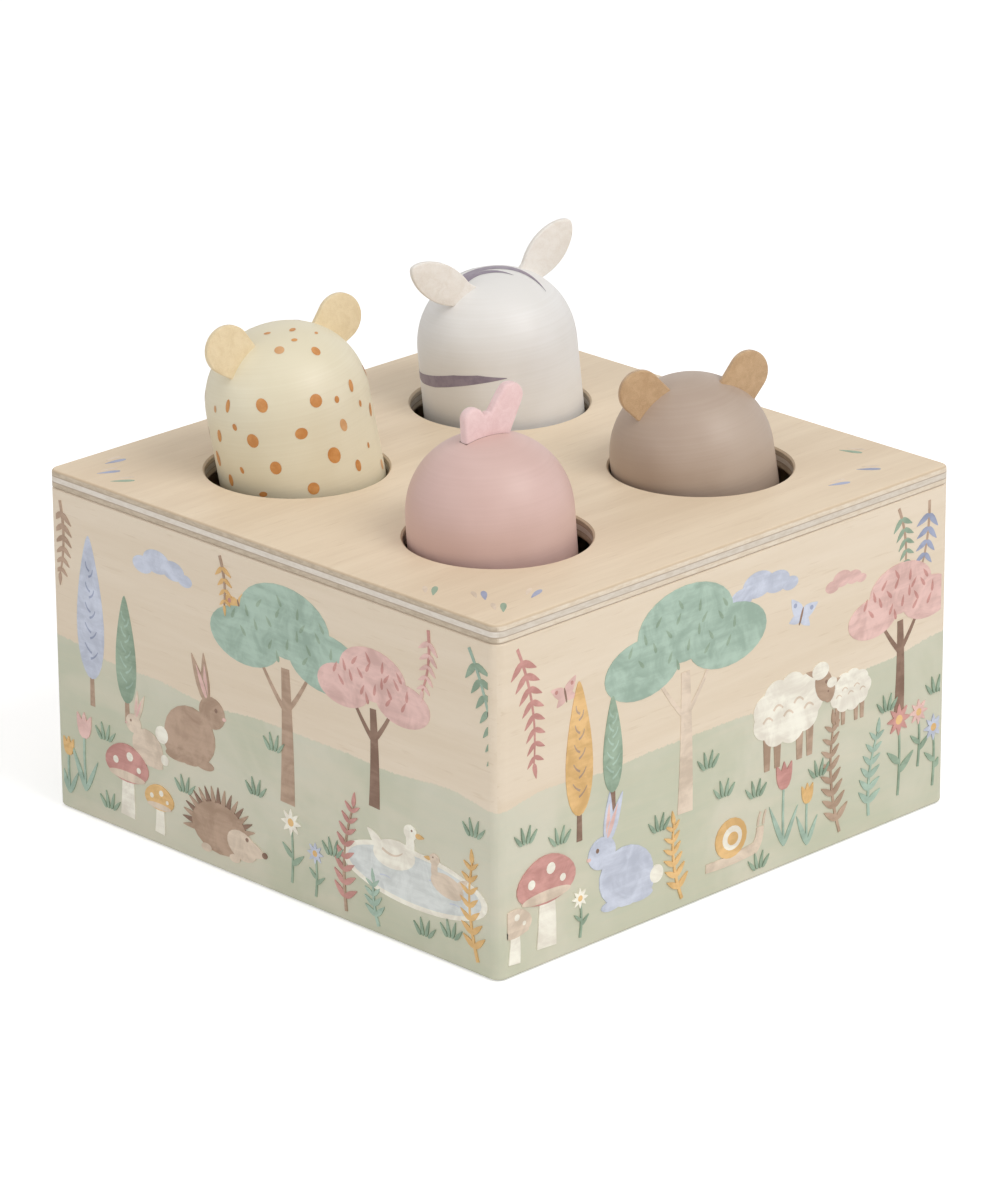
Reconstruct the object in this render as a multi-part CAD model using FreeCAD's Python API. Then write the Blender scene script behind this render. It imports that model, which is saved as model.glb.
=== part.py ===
import FreeCAD, Part
import math
import os

# Pop up animal toy: a flat square plywood box with four turned wooden animals in its top.
# Each animal stands on its own coil spring, pops back up when it is pressed down,
# and rocks a little in its hole. A foot wider than the hole keeps it in the box.
#
# Millimetres, +Z up. The origin is the centre of the underside. The front panel faces -Y.
# The animals look towards +Y, so a figure's left side is the -X side.

# Box
box_width = 140.0
box_depth = 140.0
box_height = 79.5
top_thickness = 4.2
panel_thickness = 6.0
base_thickness = 4.0
corner_radius = 2.5
top_edge_radius = 0.8
bottom_edge_radius = 0.8
seam_chamfer = 0.25
base_gap = 0.3
block_side = 10.0

# Holes in the top plate. hole_inset is from a hole's centre to the outside of the box
hole_radius = 20.3
hole_inset = 38.75
hole_spacing = min(box_width, box_depth) - 2 * hole_inset
hole_edge_chamfer = 0.4

# Turned bodies, which end in half a ball and taper out a little below it
body_play = 2.25
skirt_taper = 0.1
body_radius = hole_radius - body_play
skirt_radius = body_radius + skirt_taper
body_below_plate = 12.0
skirt_chamfer = 0.8

# Feet, which keep the animals in the box, and seats on the base panel
foot_overlap = 3.2
foot_radius = hole_radius + foot_overlap
foot_thickness = 4.0
seat_radius = 13.0
seat_thickness = 4.0
boss_height = 5.0
disc_chamfer = 0.8

# Springs, wound from round wire that is modelled with flat sides
wire_radius = 0.55
wire_sides = 6
coil_radius = 9.3
coil_turns = 6
end_pitch_share = 0.19
coil_gap = 0.35
rest_gap = 0.3

# Countersunk wood screws: shank radius, head radius, head height, length
base_screw = {"shank": 1.5, "head": 3.0, "head_height": 1.7, "length": 16.0}
seat_screw = {"shank": 1.5, "head": 3.0, "head_height": 1.7, "length": 10.5}
foot_screw = {"shank": 1.75, "head": 3.4, "head_height": 1.9, "length": 20.0}
screw_sink = 0.2
screw_fit = 0.05
screw_pass = 0.2

# Felt ears and comb, glued into slots
felt_thickness = 1.5
comb_thickness = 2.7
slot_fit = 0.05
tang_depth = 4.5

# root is the angle from the top of the crown to where an ear stands, angle the ear's own slant
round_ear = {"root": 41.0, "angle": 41.0, "set_back": 1.5, "neck": 4.9, "tip": 5.6, "length": 9.6}
tongue_ear = {"root": 37.5, "angle": 40.0, "set_back": 1.9, "neck": 4.9, "tip": 5.4, "length": 8.7}
leaf_ear = {"root": 35.0, "angle": 54.0, "set_back": 2.4, "neck": 3.9, "tip": 1.9, "length": 15.2,
            "width": 9.0, "widest": 0.42}
small_lobe = {"foot": -2.3, "foot_radius": 3.2, "tip": -2.9, "tip_height": 4.0, "tip_radius": 2.5}
large_lobe = {"foot": 1.6, "foot_radius": 3.6, "tip": 6.7, "tip_height": 7.2, "tip_radius": 2.9}

# The four animals. column and row pick the hole, lean is the tilt away from +X and towards -X
# about the diagonal, turn is the twist about its own axis, and shift is the offset in the hole.
figures = [
    {"name": "leopard", "column": -1, "row": 1, "crown": 32.9, "lean": 9.5, "turn": -11.5,
     "shift": 0.8, "ear": round_ear},
    {"name": "zebra", "column": 1, "row": 1, "crown": 31.1, "lean": 5.1, "turn": -12.4,
     "shift": 0.7, "ear": leaf_ear},
    {"name": "bear", "column": 1, "row": -1, "crown": 20.8, "lean": 7.5, "turn": -20.0,
     "shift": -1.6, "ear": tongue_ear},
    {"name": "bird", "column": -1, "row": -1, "crown": 22.8, "lean": 3.3, "turn": -11.6,
     "shift": -1.3, "ear": None},
]

up = FreeCAD.Vector(0, 0, 1)
lean_axis = FreeCAD.Vector(-1, -1, 0).normalize()
shift_direction = FreeCAD.Vector(1, -1, 0).normalize()
plate_underside = box_height - top_thickness
boss_radius = coil_radius - wire_radius - coil_gap


def vector(x, y, z):
    return FreeCAD.Vector(x, y, z)


def prism(points, height):
    """An upright prism on a closed outline of points."""
    outline = Part.makePolygon(points + points[:1])
    return Part.Face(outline).extrude(vector(0, 0, height))


def line(start, end):
    return Part.LineSegment(start, end).toShape()


def arc(start, middle, end):
    return Part.Arc(start, middle, end).toShape()


def revolved(edges):
    """A solid of revolution about Z from the edges of a half profile."""
    return Part.Face(Part.Wire(edges)).revolve(vector(0, 0, 0), up, 360)


def turned(outline):
    """A solid of revolution about Z from the corners of a half profile."""
    return revolved([line(a, b) for a, b in zip(outline, outline[1:] + outline[:1])])


def edges_at(shape, height):
    """The edges that lie flat at one height."""
    found = []
    for edge in shape.Edges:
        box = edge.BoundBox
        if abs(box.ZMin - height) < 1e-4 and abs(box.ZMax - height) < 1e-4:
            found.append(edge)
    return found


def rounded_block(low, high):
    """The box's outer form between two heights, with its upright corners rounded."""
    block = Part.makeBox(box_width, box_depth, high - low, vector(-box_width / 2, -box_depth / 2, low))
    upright = [e for e in block.Edges if e.BoundBox.ZLength > (high - low) / 2]
    return block.makeFillet(corner_radius, upright)


def hole_centre(figure):
    half = hole_spacing / 2
    return vector(figure["column"] * half, figure["row"] * half, 0)


def figure_placement(figure):
    """From a figure's own frame, with Z = 0 in the plate's upper face, to its place in the box."""
    origin = hole_centre(figure) + shift_direction * figure["shift"] + up * box_height
    turn = FreeCAD.Rotation(up, figure["turn"])
    lean = FreeCAD.Rotation(lean_axis, figure["lean"])
    return FreeCAD.Placement(origin, lean.multiply(turn))


def placed(shape, placement):
    moved = shape.copy()
    moved.transformShape(placement.toMatrix())
    return moved


# Screws, as a countersunk head and a straight shank

def screw(sizes):
    """A screw that points up, with the face of its head at Z = 0."""
    head = sizes["head"]
    shank = sizes["shank"]
    length = sizes["length"]
    return turned([vector(0, 0, 0), vector(head, 0, 0), vector(shank, 0, sizes["head_height"]),
                   vector(shank, 0, length), vector(0, 0, length)])


def screw_hole(sizes, depth, clearance):
    """The bore and countersink for a screw whose head lies a little below the wood's face."""
    slope = (sizes["head"] - sizes["shank"]) / sizes["head_height"]
    mouth = sizes["head"] + clearance + slope * screw_sink
    shank = sizes["shank"] + clearance
    return turned([vector(0, 0, -screw_sink), vector(mouth, 0, -screw_sink),
                   vector(shank, 0, sizes["head_height"]), vector(shank, 0, depth), vector(0, 0, depth)])


def base_screw_places():
    inset = panel_thickness + block_side / 2
    x = box_width / 2 - inset
    y = box_depth / 2 - inset
    return [vector(i * x, j * y, screw_sink) for i in (-1, 1) for j in (-1, 1)]


def seat_screw_places():
    return [hole_centre(figure) + up * screw_sink for figure in figures]


def moved(shape, offset):
    copy = shape.copy()
    copy.translate(offset)
    return copy


def pilot_hole(sizes, place):
    """The hole that a screw's shank fills in the wood it bites into."""
    return moved(screw_hole(sizes, sizes["length"] + screw_fit, screw_fit), place)


# Box

def top_plate():
    """Three-ply plate with four round holes, softened along its edges and round the holes."""
    plate = rounded_block(plate_underside, box_height)
    plate = plate.makeFillet(top_edge_radius, edges_at(plate, box_height))
    plate = plate.makeChamfer(seam_chamfer, edges_at(plate, plate_underside))
    for figure in figures:
        plate = plate.cut(hole_cutter(figure))
    return plate


def hole_cutter(figure):
    """A bore that opens out at the plate's upper face, where the edge is sanded off."""
    r = hole_radius
    c = hole_edge_chamfer
    low = plate_underside
    high = box_height
    outline = [vector(0, 0, low), vector(r, 0, low), vector(r, 0, high - c), vector(r + c, 0, high),
               vector(0, 0, high)]
    return moved(turned(outline), hole_centre(figure))


def side_panel(corner, along, inward):
    """A panel mitred at both ends, cut from the rounded outer form of the box."""
    length = (along.x * box_width) + (along.y * box_depth)
    step = (along + inward) * panel_thickness
    back = (inward - along) * panel_thickness
    far = corner + along * length
    slab = prism([corner, far, far + back, corner + step], plate_underside)
    shell = rounded_block(0, plate_underside)
    shell = shell.makeFillet(bottom_edge_radius, edges_at(shell, 0))
    shell = shell.makeChamfer(seam_chamfer, edges_at(shell, plate_underside))
    return shell.common(slab)


def side_panels():
    x = box_width / 2
    y = box_depth / 2
    right = vector(1, 0, 0)
    back = vector(0, 1, 0)
    return {
        "front_panel": side_panel(vector(-x, -y, 0), right, back),
        "back_panel": side_panel(vector(-x, y, 0), right, -back),
        "left_panel": side_panel(vector(-x, -y, 0), back, right),
        "right_panel": side_panel(vector(x, -y, 0), back, -right),
    }


def base_panel():
    """Plywood base inside the four panels, drilled for its own screws and the seats' screws."""
    width = box_width - 2 * (panel_thickness + base_gap)
    depth = box_depth - 2 * (panel_thickness + base_gap)
    base = Part.makeBox(width, depth, base_thickness, vector(-width / 2, -depth / 2, 0))
    for place in base_screw_places():
        base = base.cut(moved(screw_hole(base_screw, base_thickness, screw_pass), place))
    for place in seat_screw_places():
        base = base.cut(moved(screw_hole(seat_screw, base_thickness, screw_pass), place))
    return base


def corner_blocks():
    """Glue blocks that fill the inner corners from the base panel to the top plate."""
    height = plate_underside - base_thickness
    blocks = []
    for place in base_screw_places():
        corner = vector(place.x - block_side / 2, place.y - block_side / 2, base_thickness)
        block = Part.makeBox(block_side, block_side, height, corner)
        blocks.append(block.cut(pilot_hole(base_screw, place)))
    return Part.makeCompound(blocks)


def screws(sizes, places):
    return Part.makeCompound([moved(screw(sizes), place) for place in places])


# Seat and foot: turned discs with a boss that the spring's end coil goes round

def bossed_disc(radius, thickness):
    """A disc from Z = 0 up with a boss on top."""
    c = disc_chamfer
    top = thickness + boss_height
    return turned([vector(0, 0, 0), vector(radius - c, 0, 0), vector(radius, 0, c),
                   vector(radius, 0, thickness), vector(boss_radius, 0, thickness),
                   vector(boss_radius, 0, top - c), vector(boss_radius - c, 0, top), vector(0, 0, top)])


def seat(figure):
    place = hole_centre(figure)
    disc = moved(bossed_disc(seat_radius, seat_thickness), place + up * base_thickness)
    return disc.cut(pilot_hole(seat_screw, place + up * screw_sink))


def foot_head_height():
    """The face of the foot screw's head in the figure's frame, just inside the boss."""
    return -(body_below_plate + foot_thickness + boss_height) + screw_sink


def foot():
    """The foot hangs under the body with its boss downwards, in the figure's frame."""
    disc = bossed_disc(foot_radius, foot_thickness)
    disc.rotate(vector(0, 0, 0), vector(1, 0, 0), 180)
    disc.translate(up * -body_below_plate)
    bore = screw_hole(foot_screw, foot_thickness + boss_height, screw_pass)
    return disc.cut(moved(bore, up * foot_head_height()))


# Turned bodies

def plain_body(figure):
    """The turned form before its slots are cut, from the crown to the face on the foot."""
    top = figure["crown"]
    shoulder = top - body_radius
    floor = -body_below_plate
    c = skirt_chamfer
    slant = body_radius * math.sqrt(0.5)
    crown = arc(vector(0, 0, top), vector(slant, 0, shoulder + slant), vector(body_radius, 0, shoulder))
    outline = [vector(body_radius, 0, shoulder), vector(skirt_radius, 0, floor + c),
               vector(skirt_radius - c, 0, floor), vector(0, 0, floor), vector(0, 0, top)]
    shape = revolved([crown] + [line(a, b) for a, b in zip(outline, outline[1:])])
    # The seam of the turned faces goes to the front, clear of the slots.
    shape.rotate(vector(0, 0, 0), up, 90)
    return shape


def body(figure):
    shape = plain_body(figure)
    shape = shape.cut(pilot_hole(foot_screw, up * foot_head_height()))
    for cutter in felt_parts(figure, slot_fit).values():
        shape = shape.cut(cutter)
    return shape


# Felt ears and comb: flat outlines, cut from sheet, whose lower ends fill slots in the crown

def lobe(foot_x, foot_z, foot_size, tip_x, tip_z, tip_size):
    """The outline round two circles and the straight sides that touch both."""
    run = math.hypot(tip_x - foot_x, tip_z - foot_z)
    heading = math.atan2(tip_z - foot_z, tip_x - foot_x)
    opening = math.acos((foot_size - tip_size) / run)

    def on(x, z, size, angle):
        return vector(x + size * math.cos(angle), 0, z + size * math.sin(angle))

    foot_right = on(foot_x, foot_z, foot_size, heading - opening)
    foot_left = on(foot_x, foot_z, foot_size, heading + opening)
    tip_right = on(tip_x, tip_z, tip_size, heading - opening)
    tip_left = on(tip_x, tip_z, tip_size, heading + opening)
    foot_end = on(foot_x, foot_z, foot_size, heading + math.pi)
    tip_end = on(tip_x, tip_z, tip_size, heading)
    return Part.Wire([line(foot_right, tip_right), arc(tip_right, tip_end, tip_left),
                      line(tip_left, foot_left), arc(foot_left, foot_end, foot_right)])


def leaf(ear, margin):
    """A leaf outline: straight tang, bowed sides and a small round tip."""
    neck = ear["neck"] + margin
    half = ear["width"] / 2 + margin
    tip = ear["tip"] + margin
    bottom = -tang_depth - margin
    end = ear["length"] + margin
    side = vector(half, 0, ear["length"] * ear["widest"])
    lean = math.radians(35)
    shoulder = vector(tip * math.cos(lean), 0, end - tip + tip * math.sin(lean))

    def other(p):
        return vector(-p.x, 0, p.z)

    low = vector(neck, 0, bottom)
    start = vector(neck, 0, 0)
    return Part.Wire([line(other(low), low), line(low, start), arc(start, side, shoulder),
                      arc(shoulder, vector(0, 0, end), other(shoulder)),
                      arc(other(shoulder), other(side), other(start)), line(other(start), other(low))])


def sheet(outline, thickness):
    """A flat piece of felt, centred on its own middle plane."""
    piece = Part.Face(outline).extrude(vector(0, thickness, 0))
    piece.translate(vector(0, -thickness / 2, 0))
    return piece


def ear_blank(ear, margin):
    """An ear that stands up, with Z = 0 where it leaves the wood."""
    if "width" in ear:
        outline = leaf(ear, margin)
    else:
        neck = ear["neck"] + margin
        tip = ear["tip"] + margin
        outline = lobe(0, ear["neck"] - tang_depth, neck, 0, ear["length"] - ear["tip"], tip)
    return sheet(outline, felt_thickness + 2 * margin)


def ear_piece(figure, side, margin):
    """side is -1 for the left ear and 1 for the right ear."""
    ear = figure["ear"]
    piece = ear_blank(ear, margin)
    piece.rotate(vector(0, 0, 0), vector(0, 1, 0), side * ear["angle"])
    root = math.radians(ear["root"])
    height = figure["crown"] - body_radius * (1 - math.cos(root))
    piece.translate(vector(side * body_radius * math.sin(root), -ear["set_back"], height))
    return piece


def comb_piece(figure, margin):
    """Two lobes cut in one piece, set in a slot across the crown."""
    blanks = []
    for part in (small_lobe, large_lobe):
        foot_z = part["foot_radius"] - tang_depth
        outline = lobe(part["foot"], foot_z, part["foot_radius"] + margin,
                       part["tip"], part["tip_height"], part["tip_radius"] + margin)
        blanks.append(sheet(outline, comb_thickness + 2 * margin))
    piece = blanks[0].fuse(blanks[1]).removeSplitter()
    piece.translate(up * figure["crown"])
    return piece


def felt_parts(figure, margin):
    name = figure["name"]
    if figure["ear"] is None:
        return {name + "_comb": comb_piece(figure, margin)}
    return {
        name + "_left_ear": ear_piece(figure, -1, margin),
        name + "_right_ear": ear_piece(figure, 1, margin),
    }


# Spring: one round wire wound on an axis that bends from upright to the figure's lean

def spring_ends(figure):
    """The centres of the first and last coil and the axis directions there."""
    placement = figure_placement(figure)
    stand_off = rest_gap + wire_radius
    low = hole_centre(figure) + up * (base_thickness + seat_thickness + stand_off)
    high = placement.multVec(up * -(body_below_plate + foot_thickness + stand_off))
    return low, up, high, placement.Rotation.multVec(up)


def axis_point(ends, t):
    """A point on the smooth axis between both ends, and the axis direction there."""
    low, low_way, high, high_way = ends
    span = high.distanceToPoint(low)
    a = low_way * span
    b = high_way * span
    point = (low * (2 * t ** 3 - 3 * t ** 2 + 1) + a * (t ** 3 - 2 * t ** 2 + t)
             + high * (3 * t ** 2 - 2 * t ** 3) + b * (t ** 3 - t ** 2))
    way = (low * (6 * t ** 2 - 6 * t) + a * (3 * t ** 2 - 4 * t + 1)
           + high * (6 * t - 6 * t ** 2) + b * (3 * t ** 2 - 2 * t))
    return point, way.normalize()


def coil_point(ends, share):
    """The middle of the wire at a share of the winding. The end turns lie closer together."""
    rise = share - math.sin(2 * math.pi * share) / (2 * math.pi)
    centre, way = axis_point(ends, end_pitch_share * share + (1 - end_pitch_share) * rise)
    across = vector(1, 0, 0) - way * way.x
    across.normalize()
    beside = way.cross(across)
    angle = 2 * math.pi * coil_turns * share
    return centre + across * (coil_radius * math.cos(angle)) + beside * (coil_radius * math.sin(angle))


def coil_direction(ends, share):
    step = 1e-4
    return (coil_point(ends, share + step) - coil_point(ends, share - step)).normalize()


def tangent_arc(start, corner, end):
    """The arc that leaves start and reaches end along the lines to their common corner."""
    middle = (start + end) * 0.5
    half = middle.distanceToPoint(start)
    rise = corner - middle
    turn = 2 * math.atan2(rise.Length, half)
    return arc(start, middle + rise.normalize() * (half * math.tan(turn / 4)), end)


def biarc(start, start_way, end, end_way):
    """Two arcs that join smoothly and keep both end directions."""
    chord = end - start
    ways = start_way + end_way
    spread = 2 * (1 - start_way.dot(end_way))
    pull = chord.dot(ways)
    reach = (math.sqrt(pull ** 2 + spread * chord.dot(chord)) - pull) / spread
    first = start + start_way * reach
    second = end - end_way * reach
    joint = (first + second) * 0.5
    return [tangent_arc(start, first, joint), tangent_arc(joint, second, end)]


def wire_section(ends):
    """The outline of the wire at the lower end of the spring."""
    centre = coil_point(ends, 0)
    along = coil_direction(ends, 0)
    out = up.cross(along).normalize() * wire_radius
    turns = [FreeCAD.Rotation(along, 360 * i / wire_sides) for i in range(wire_sides + 1)]
    return Part.makePolygon([centre + turn.multVec(out) for turn in turns])


def spring(figure):
    ends = spring_ends(figure)
    pieces = 4 * coil_turns
    shares = [i / pieces for i in range(pieces + 1)]
    edges = []
    for a, b in zip(shares, shares[1:]):
        edges += biarc(coil_point(ends, a), coil_direction(ends, a), coil_point(ends, b), coil_direction(ends, b))
    return Part.Wire(edges).makePipeShell([wire_section(ends)], True, False)


def spring_self_gap(figure):
    """The least gap between turns of one spring, from points along the wire."""
    ends = spring_ends(figure)
    steps = 48
    points = [coil_point(ends, i / (steps * coil_turns)) for i in range(steps * coil_turns + 1)]
    least = min(a.distanceToPoint(b) for i, a in enumerate(points) for b in points[i + steps // 2:])
    return least - 2 * wire_radius


def figure_parts(figure):
    name = figure["name"]
    placement = figure_placement(figure)
    parts = {name + "_body": placed(body(figure), placement)}
    for part, shape in felt_parts(figure, 0).items():
        parts[part] = placed(shape, placement)
    parts[name + "_foot"] = placed(foot(), placement)
    parts[name + "_foot_screw"] = placed(moved(screw(foot_screw), up * foot_head_height()), placement)
    parts[name + "_spring"] = spring(figure)
    parts[name + "_seat"] = seat(figure)
    return parts


def all_parts():
    parts = {"top_plate": top_plate()}
    parts.update(side_panels())
    parts["base_panel"] = base_panel()
    parts["corner_blocks"] = corner_blocks()
    parts["base_screws"] = screws(base_screw, base_screw_places())
    parts["seat_screws"] = screws(seat_screw, seat_screw_places())
    for figure in figures:
        parts.update(figure_parts(figure))
    return parts


os.makedirs("parts", exist_ok=True)
for part_name, part_shape in all_parts().items():
    part_shape.exportStep("parts/" + part_name + ".step")
for figure in figures:
    print(figure["name"], "spring, least gap to itself:", round(spring_self_gap(figure), 2), "mm")
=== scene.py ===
import math

import bmesh
import bpy
from mathutils import Matrix, Vector


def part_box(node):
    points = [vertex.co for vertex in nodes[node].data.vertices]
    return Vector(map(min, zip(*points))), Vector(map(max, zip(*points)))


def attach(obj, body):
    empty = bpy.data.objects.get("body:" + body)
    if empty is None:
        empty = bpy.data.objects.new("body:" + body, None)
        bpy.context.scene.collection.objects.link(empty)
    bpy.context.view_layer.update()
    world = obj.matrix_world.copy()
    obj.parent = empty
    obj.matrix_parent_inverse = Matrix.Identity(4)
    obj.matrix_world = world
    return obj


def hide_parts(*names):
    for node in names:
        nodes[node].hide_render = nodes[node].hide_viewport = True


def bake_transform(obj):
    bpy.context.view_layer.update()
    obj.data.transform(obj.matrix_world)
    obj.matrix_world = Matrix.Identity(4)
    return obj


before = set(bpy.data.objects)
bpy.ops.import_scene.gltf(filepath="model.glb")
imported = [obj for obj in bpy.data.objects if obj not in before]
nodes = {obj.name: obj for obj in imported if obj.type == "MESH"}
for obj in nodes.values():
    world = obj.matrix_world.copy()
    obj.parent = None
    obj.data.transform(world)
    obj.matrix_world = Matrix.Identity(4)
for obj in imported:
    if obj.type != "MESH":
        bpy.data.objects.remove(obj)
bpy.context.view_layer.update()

mm = 0.001


# Side panels
# Four birch plywood panels, mitred and glued. A soft meadow is printed on the bare wood:
# a sage ground with a grassy edge below, open grain above, under a thin matt lacquer.

def paint(red, green, blue):
    """A colour written as it is seen, from 0 to 255, in the shader's own scale."""
    def straight(value):
        share = value / 255
        return share / 12.92 if share <= 0.04045 else ((share + 0.055) / 1.055) ** 2.4
    return (straight(red), straight(green), straight(blue), 1.0)


def finish_base(name, rough, coat=0.0):
    """A new material: its node tree, its surface shader and the place on the object in metres."""
    material = bpy.data.materials.new(name)
    material.use_nodes = True
    tree = material.node_tree
    surface = tree.nodes["Principled BSDF"]
    surface.inputs["Roughness"].default_value = rough
    surface.inputs["Coat Weight"].default_value = coat
    surface.inputs["Coat Roughness"].default_value = 0.35
    place = tree.nodes.new("ShaderNodeTexCoord").outputs["Object"]
    return material, tree, surface, place


def stretched(tree, place, scale):
    """The place on the object, scaled along each axis, so that a pattern runs with the grain."""
    mapping = tree.nodes.new("ShaderNodeMapping")
    mapping.inputs["Scale"].default_value = scale
    tree.links.new(place, mapping.inputs["Vector"])
    return mapping.outputs["Vector"]


def cloudy(tree, place, scale, detail=3.0, rough=0.5, warp=0.0):
    noise = tree.nodes.new("ShaderNodeTexNoise")
    noise.inputs["Scale"].default_value = scale
    noise.inputs["Detail"].default_value = detail
    noise.inputs["Roughness"].default_value = rough
    noise.inputs["Distortion"].default_value = warp
    tree.links.new(place, noise.inputs["Vector"])
    return noise.outputs["Fac"]


def sums(tree, kind, first, second, limit=False):
    node = tree.nodes.new("ShaderNodeMath")
    node.operation = kind
    node.use_clamp = limit
    for socket, value in zip(node.inputs, (first, second)):
        if isinstance(value, (int, float)):
            socket.default_value = value
        else:
            tree.links.new(value, socket)
    return node.outputs[0]


def between(tree, value, low, high):
    """0 below low, 1 above high, and a smooth step between them."""
    node = tree.nodes.new("ShaderNodeMapRange")
    node.interpolation_type = "SMOOTHSTEP"
    node.inputs["From Min"].default_value = low
    node.inputs["From Max"].default_value = high
    tree.links.new(value, node.inputs["Value"])
    return node.outputs["Result"]


def outside(tree, value, low, high):
    """1 below low, 0 above high."""
    return sums(tree, "SUBTRACT", 1.0, between(tree, value, low, high))


def weighed(tree, first, second, share):
    """Two patterns in one tone, the first by its share and the second by the rest."""
    return sums(tree, "ADD", sums(tree, "MULTIPLY", first, share), sums(tree, "MULTIPLY", second, 1 - share))


def blended(tree, share, first, second):
    node = tree.nodes.new("ShaderNodeMix")
    node.data_type = "RGBA"
    tree.links.new(share, node.inputs["Factor"])
    for socket, value in ((node.inputs[6], first), (node.inputs[7], second)):
        if isinstance(value, tuple):
            socket.default_value = value
        else:
            tree.links.new(value, socket)
    return node.outputs[2]


def raised(tree, surface, height, strength, distance=0.0002):
    bump = tree.nodes.new("ShaderNodeBump")
    bump.inputs["Strength"].default_value = strength
    bump.inputs["Distance"].default_value = distance
    tree.links.new(height, bump.inputs["Height"])
    tree.links.new(bump.outputs["Normal"], surface.inputs["Normal"])


def split(tree, vector):
    node = tree.nodes.new("ShaderNodeSeparateXYZ")
    tree.links.new(vector, node.inputs[0])
    return node.outputs


# How fast the grain changes along X, Y and Z, for wood that runs along X or along Y.
grain_along_x = (18.0, 230.0, 230.0)
grain_along_y = (230.0, 18.0, 230.0)


def grain(tree, place, way, light, dark, pore):
    """Birch: broad soft figure, fine streaks along the grain and short dark pores."""
    along = stretched(tree, place, way)
    broad = stretched(tree, place, tuple(0.18 * value for value in way))
    figure = cloudy(tree, broad, 1.0, 4.0, 0.55, 1.4)
    streaks = cloudy(tree, along, 3.2, 5.0, 0.6, 0.3)
    fine = stretched(tree, place, tuple(2.4 * value for value in way))
    pores = cloudy(tree, fine, 2.6, 2.0, 0.5)
    tone = weighed(tree, figure, streaks, 0.74)
    colour = blended(tree, between(tree, tone, 0.34, 0.66), dark, light)
    specks = sums(tree, "MULTIPLY", between(tree, pores, 0.62, 0.76), 0.28)
    return blended(tree, specks, colour, pore), streaks


def dress(name, material):
    """Gives a piece its finish in place of the plain one."""
    nodes[name].data.materials.clear()
    nodes[name].data.materials.append(material)


bare_light = paint(237, 222, 201)
bare_dark = paint(229, 212, 188)
bare_pore = paint(208, 186, 156)
# The sage ground's edge, in metres: its middle height, how far the hills and the grass lift it
# and how soft it is.
ground_edge = 0.0323
hill_rise = 0.012
grass_rise = 0.0014
edge_blur = 0.0002


def meadow_print(name, way, across):
    """Bare birch with the sage ground printed over its lower half. across is 0 for X and 1 for Y."""
    material, tree, surface, place = finish_base(name, 0.52, 0.12)
    wood, streaks = grain(tree, place, way, bare_light, bare_dark, bare_pore)
    along = split(tree, place)[across]
    height = split(tree, place)[2]
    flat = tree.nodes.new("ShaderNodeCombineXYZ")
    tree.links.new(along, flat.inputs[0])
    hills = cloudy(tree, flat.outputs[0], 22.0, 1.0)
    tufts = cloudy(tree, flat.outputs[0], 900.0, 2.0, 0.7)
    rise = sums(tree, "ADD", sums(tree, "MULTIPLY", hills, hill_rise),
                sums(tree, "MULTIPLY", tufts, grass_rise))
    above = sums(tree, "SUBTRACT", height, sums(tree, "ADD", rise, ground_edge))
    covered = outside(tree, above, -edge_blur, edge_blur)
    wash = cloudy(tree, place, 26.0, 4.0, 0.6, 0.6)
    pools = cloudy(tree, stretched(tree, place, (30.0, 30.0, 90.0)), 1.0, 3.0)
    ground = blended(tree, between(tree, wash, 0.36, 0.66), paint(198, 202, 179), paint(214, 213, 194))
    pooled = sums(tree, "MULTIPLY", between(tree, pools, 0.52, 0.7), 0.5)
    ground = blended(tree, pooled, ground, paint(222, 216, 196))
    cover = sums(tree, "ADD", sums(tree, "MULTIPLY", streaks, 0.35), 0.72)
    worn = sums(tree, "MULTIPLY", covered, cover, True)
    tree.links.new(blended(tree, worn, wood, ground), surface.inputs["Base Color"])
    raised(tree, surface, streaks, 0.12)
    return material


# Which way each panel faces: its outward direction, the direction to the right along it
# as seen from outside, and the axis along which its grain runs.
panel_sides = {
    "front": (Vector((0, -1, 0)), Vector((1, 0, 0)), grain_along_x, 0),
    "back": (Vector((0, 1, 0)), Vector((-1, 0, 0)), grain_along_x, 0),
    "left": (Vector((-1, 0, 0)), Vector((0, -1, 0)), grain_along_y, 1),
    "right": (Vector((1, 0, 0)), Vector((0, 1, 0)), grain_along_y, 1),
}
for side, (outward, rightward, way, across) in panel_sides.items():
    dress(side + "_panel", meadow_print(side + " panel print", way, across))


# Printed picture on the panels
# A generic meadow in thin water-based inks: trees, toadstools, flowers, a rabbit, a hedgehog,
# sheep, ducks on a pond, butterflies. Each colour is one pass, a few hundredths thick.

ink_colours = {
    "sage": (148, 170, 148), "teal": (166, 190, 174), "mist": (200, 206, 222), "slate": (154, 162, 188),
    "rose": (226, 188, 180), "berry": (202, 146, 138), "ochre": (226, 184, 122), "bark": (180, 152, 130),
    "sand": (220, 202, 182), "cream": (243, 236, 222), "umber": (140, 110, 92), "pond": (216, 220, 218),
}


def ink_finish(name, colour):
    """Ink that pools a little and lets the grain show through."""
    material, tree, surface, place = finish_base(name + " ink", 0.55, 0.1)
    wash = cloudy(tree, place, 150.0, 4.0, 0.62, 0.8)
    fine = cloudy(tree, stretched(tree, place, (60.0, 60.0, 700.0)), 1.0, 4.0, 0.6)
    tone = weighed(tree, wash, fine, 0.7)
    pale = tuple(min(255, value + 16) for value in colour)
    deep = tuple(value - 12 for value in colour)
    tree.links.new(blended(tree, between(tree, tone, 0.36, 0.64), paint(*deep), paint(*pale)),
                   surface.inputs["Base Color"])
    raised(tree, surface, fine, 0.08)
    return material


inks = {name: ink_finish(name, colour) for name, colour in ink_colours.items()}


# Thickness in millimetres: how deep the inks are set, the first pass and each one over it
ink_depth = 0.05
first_pass = 0.03
each_pass = 0.0008
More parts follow.
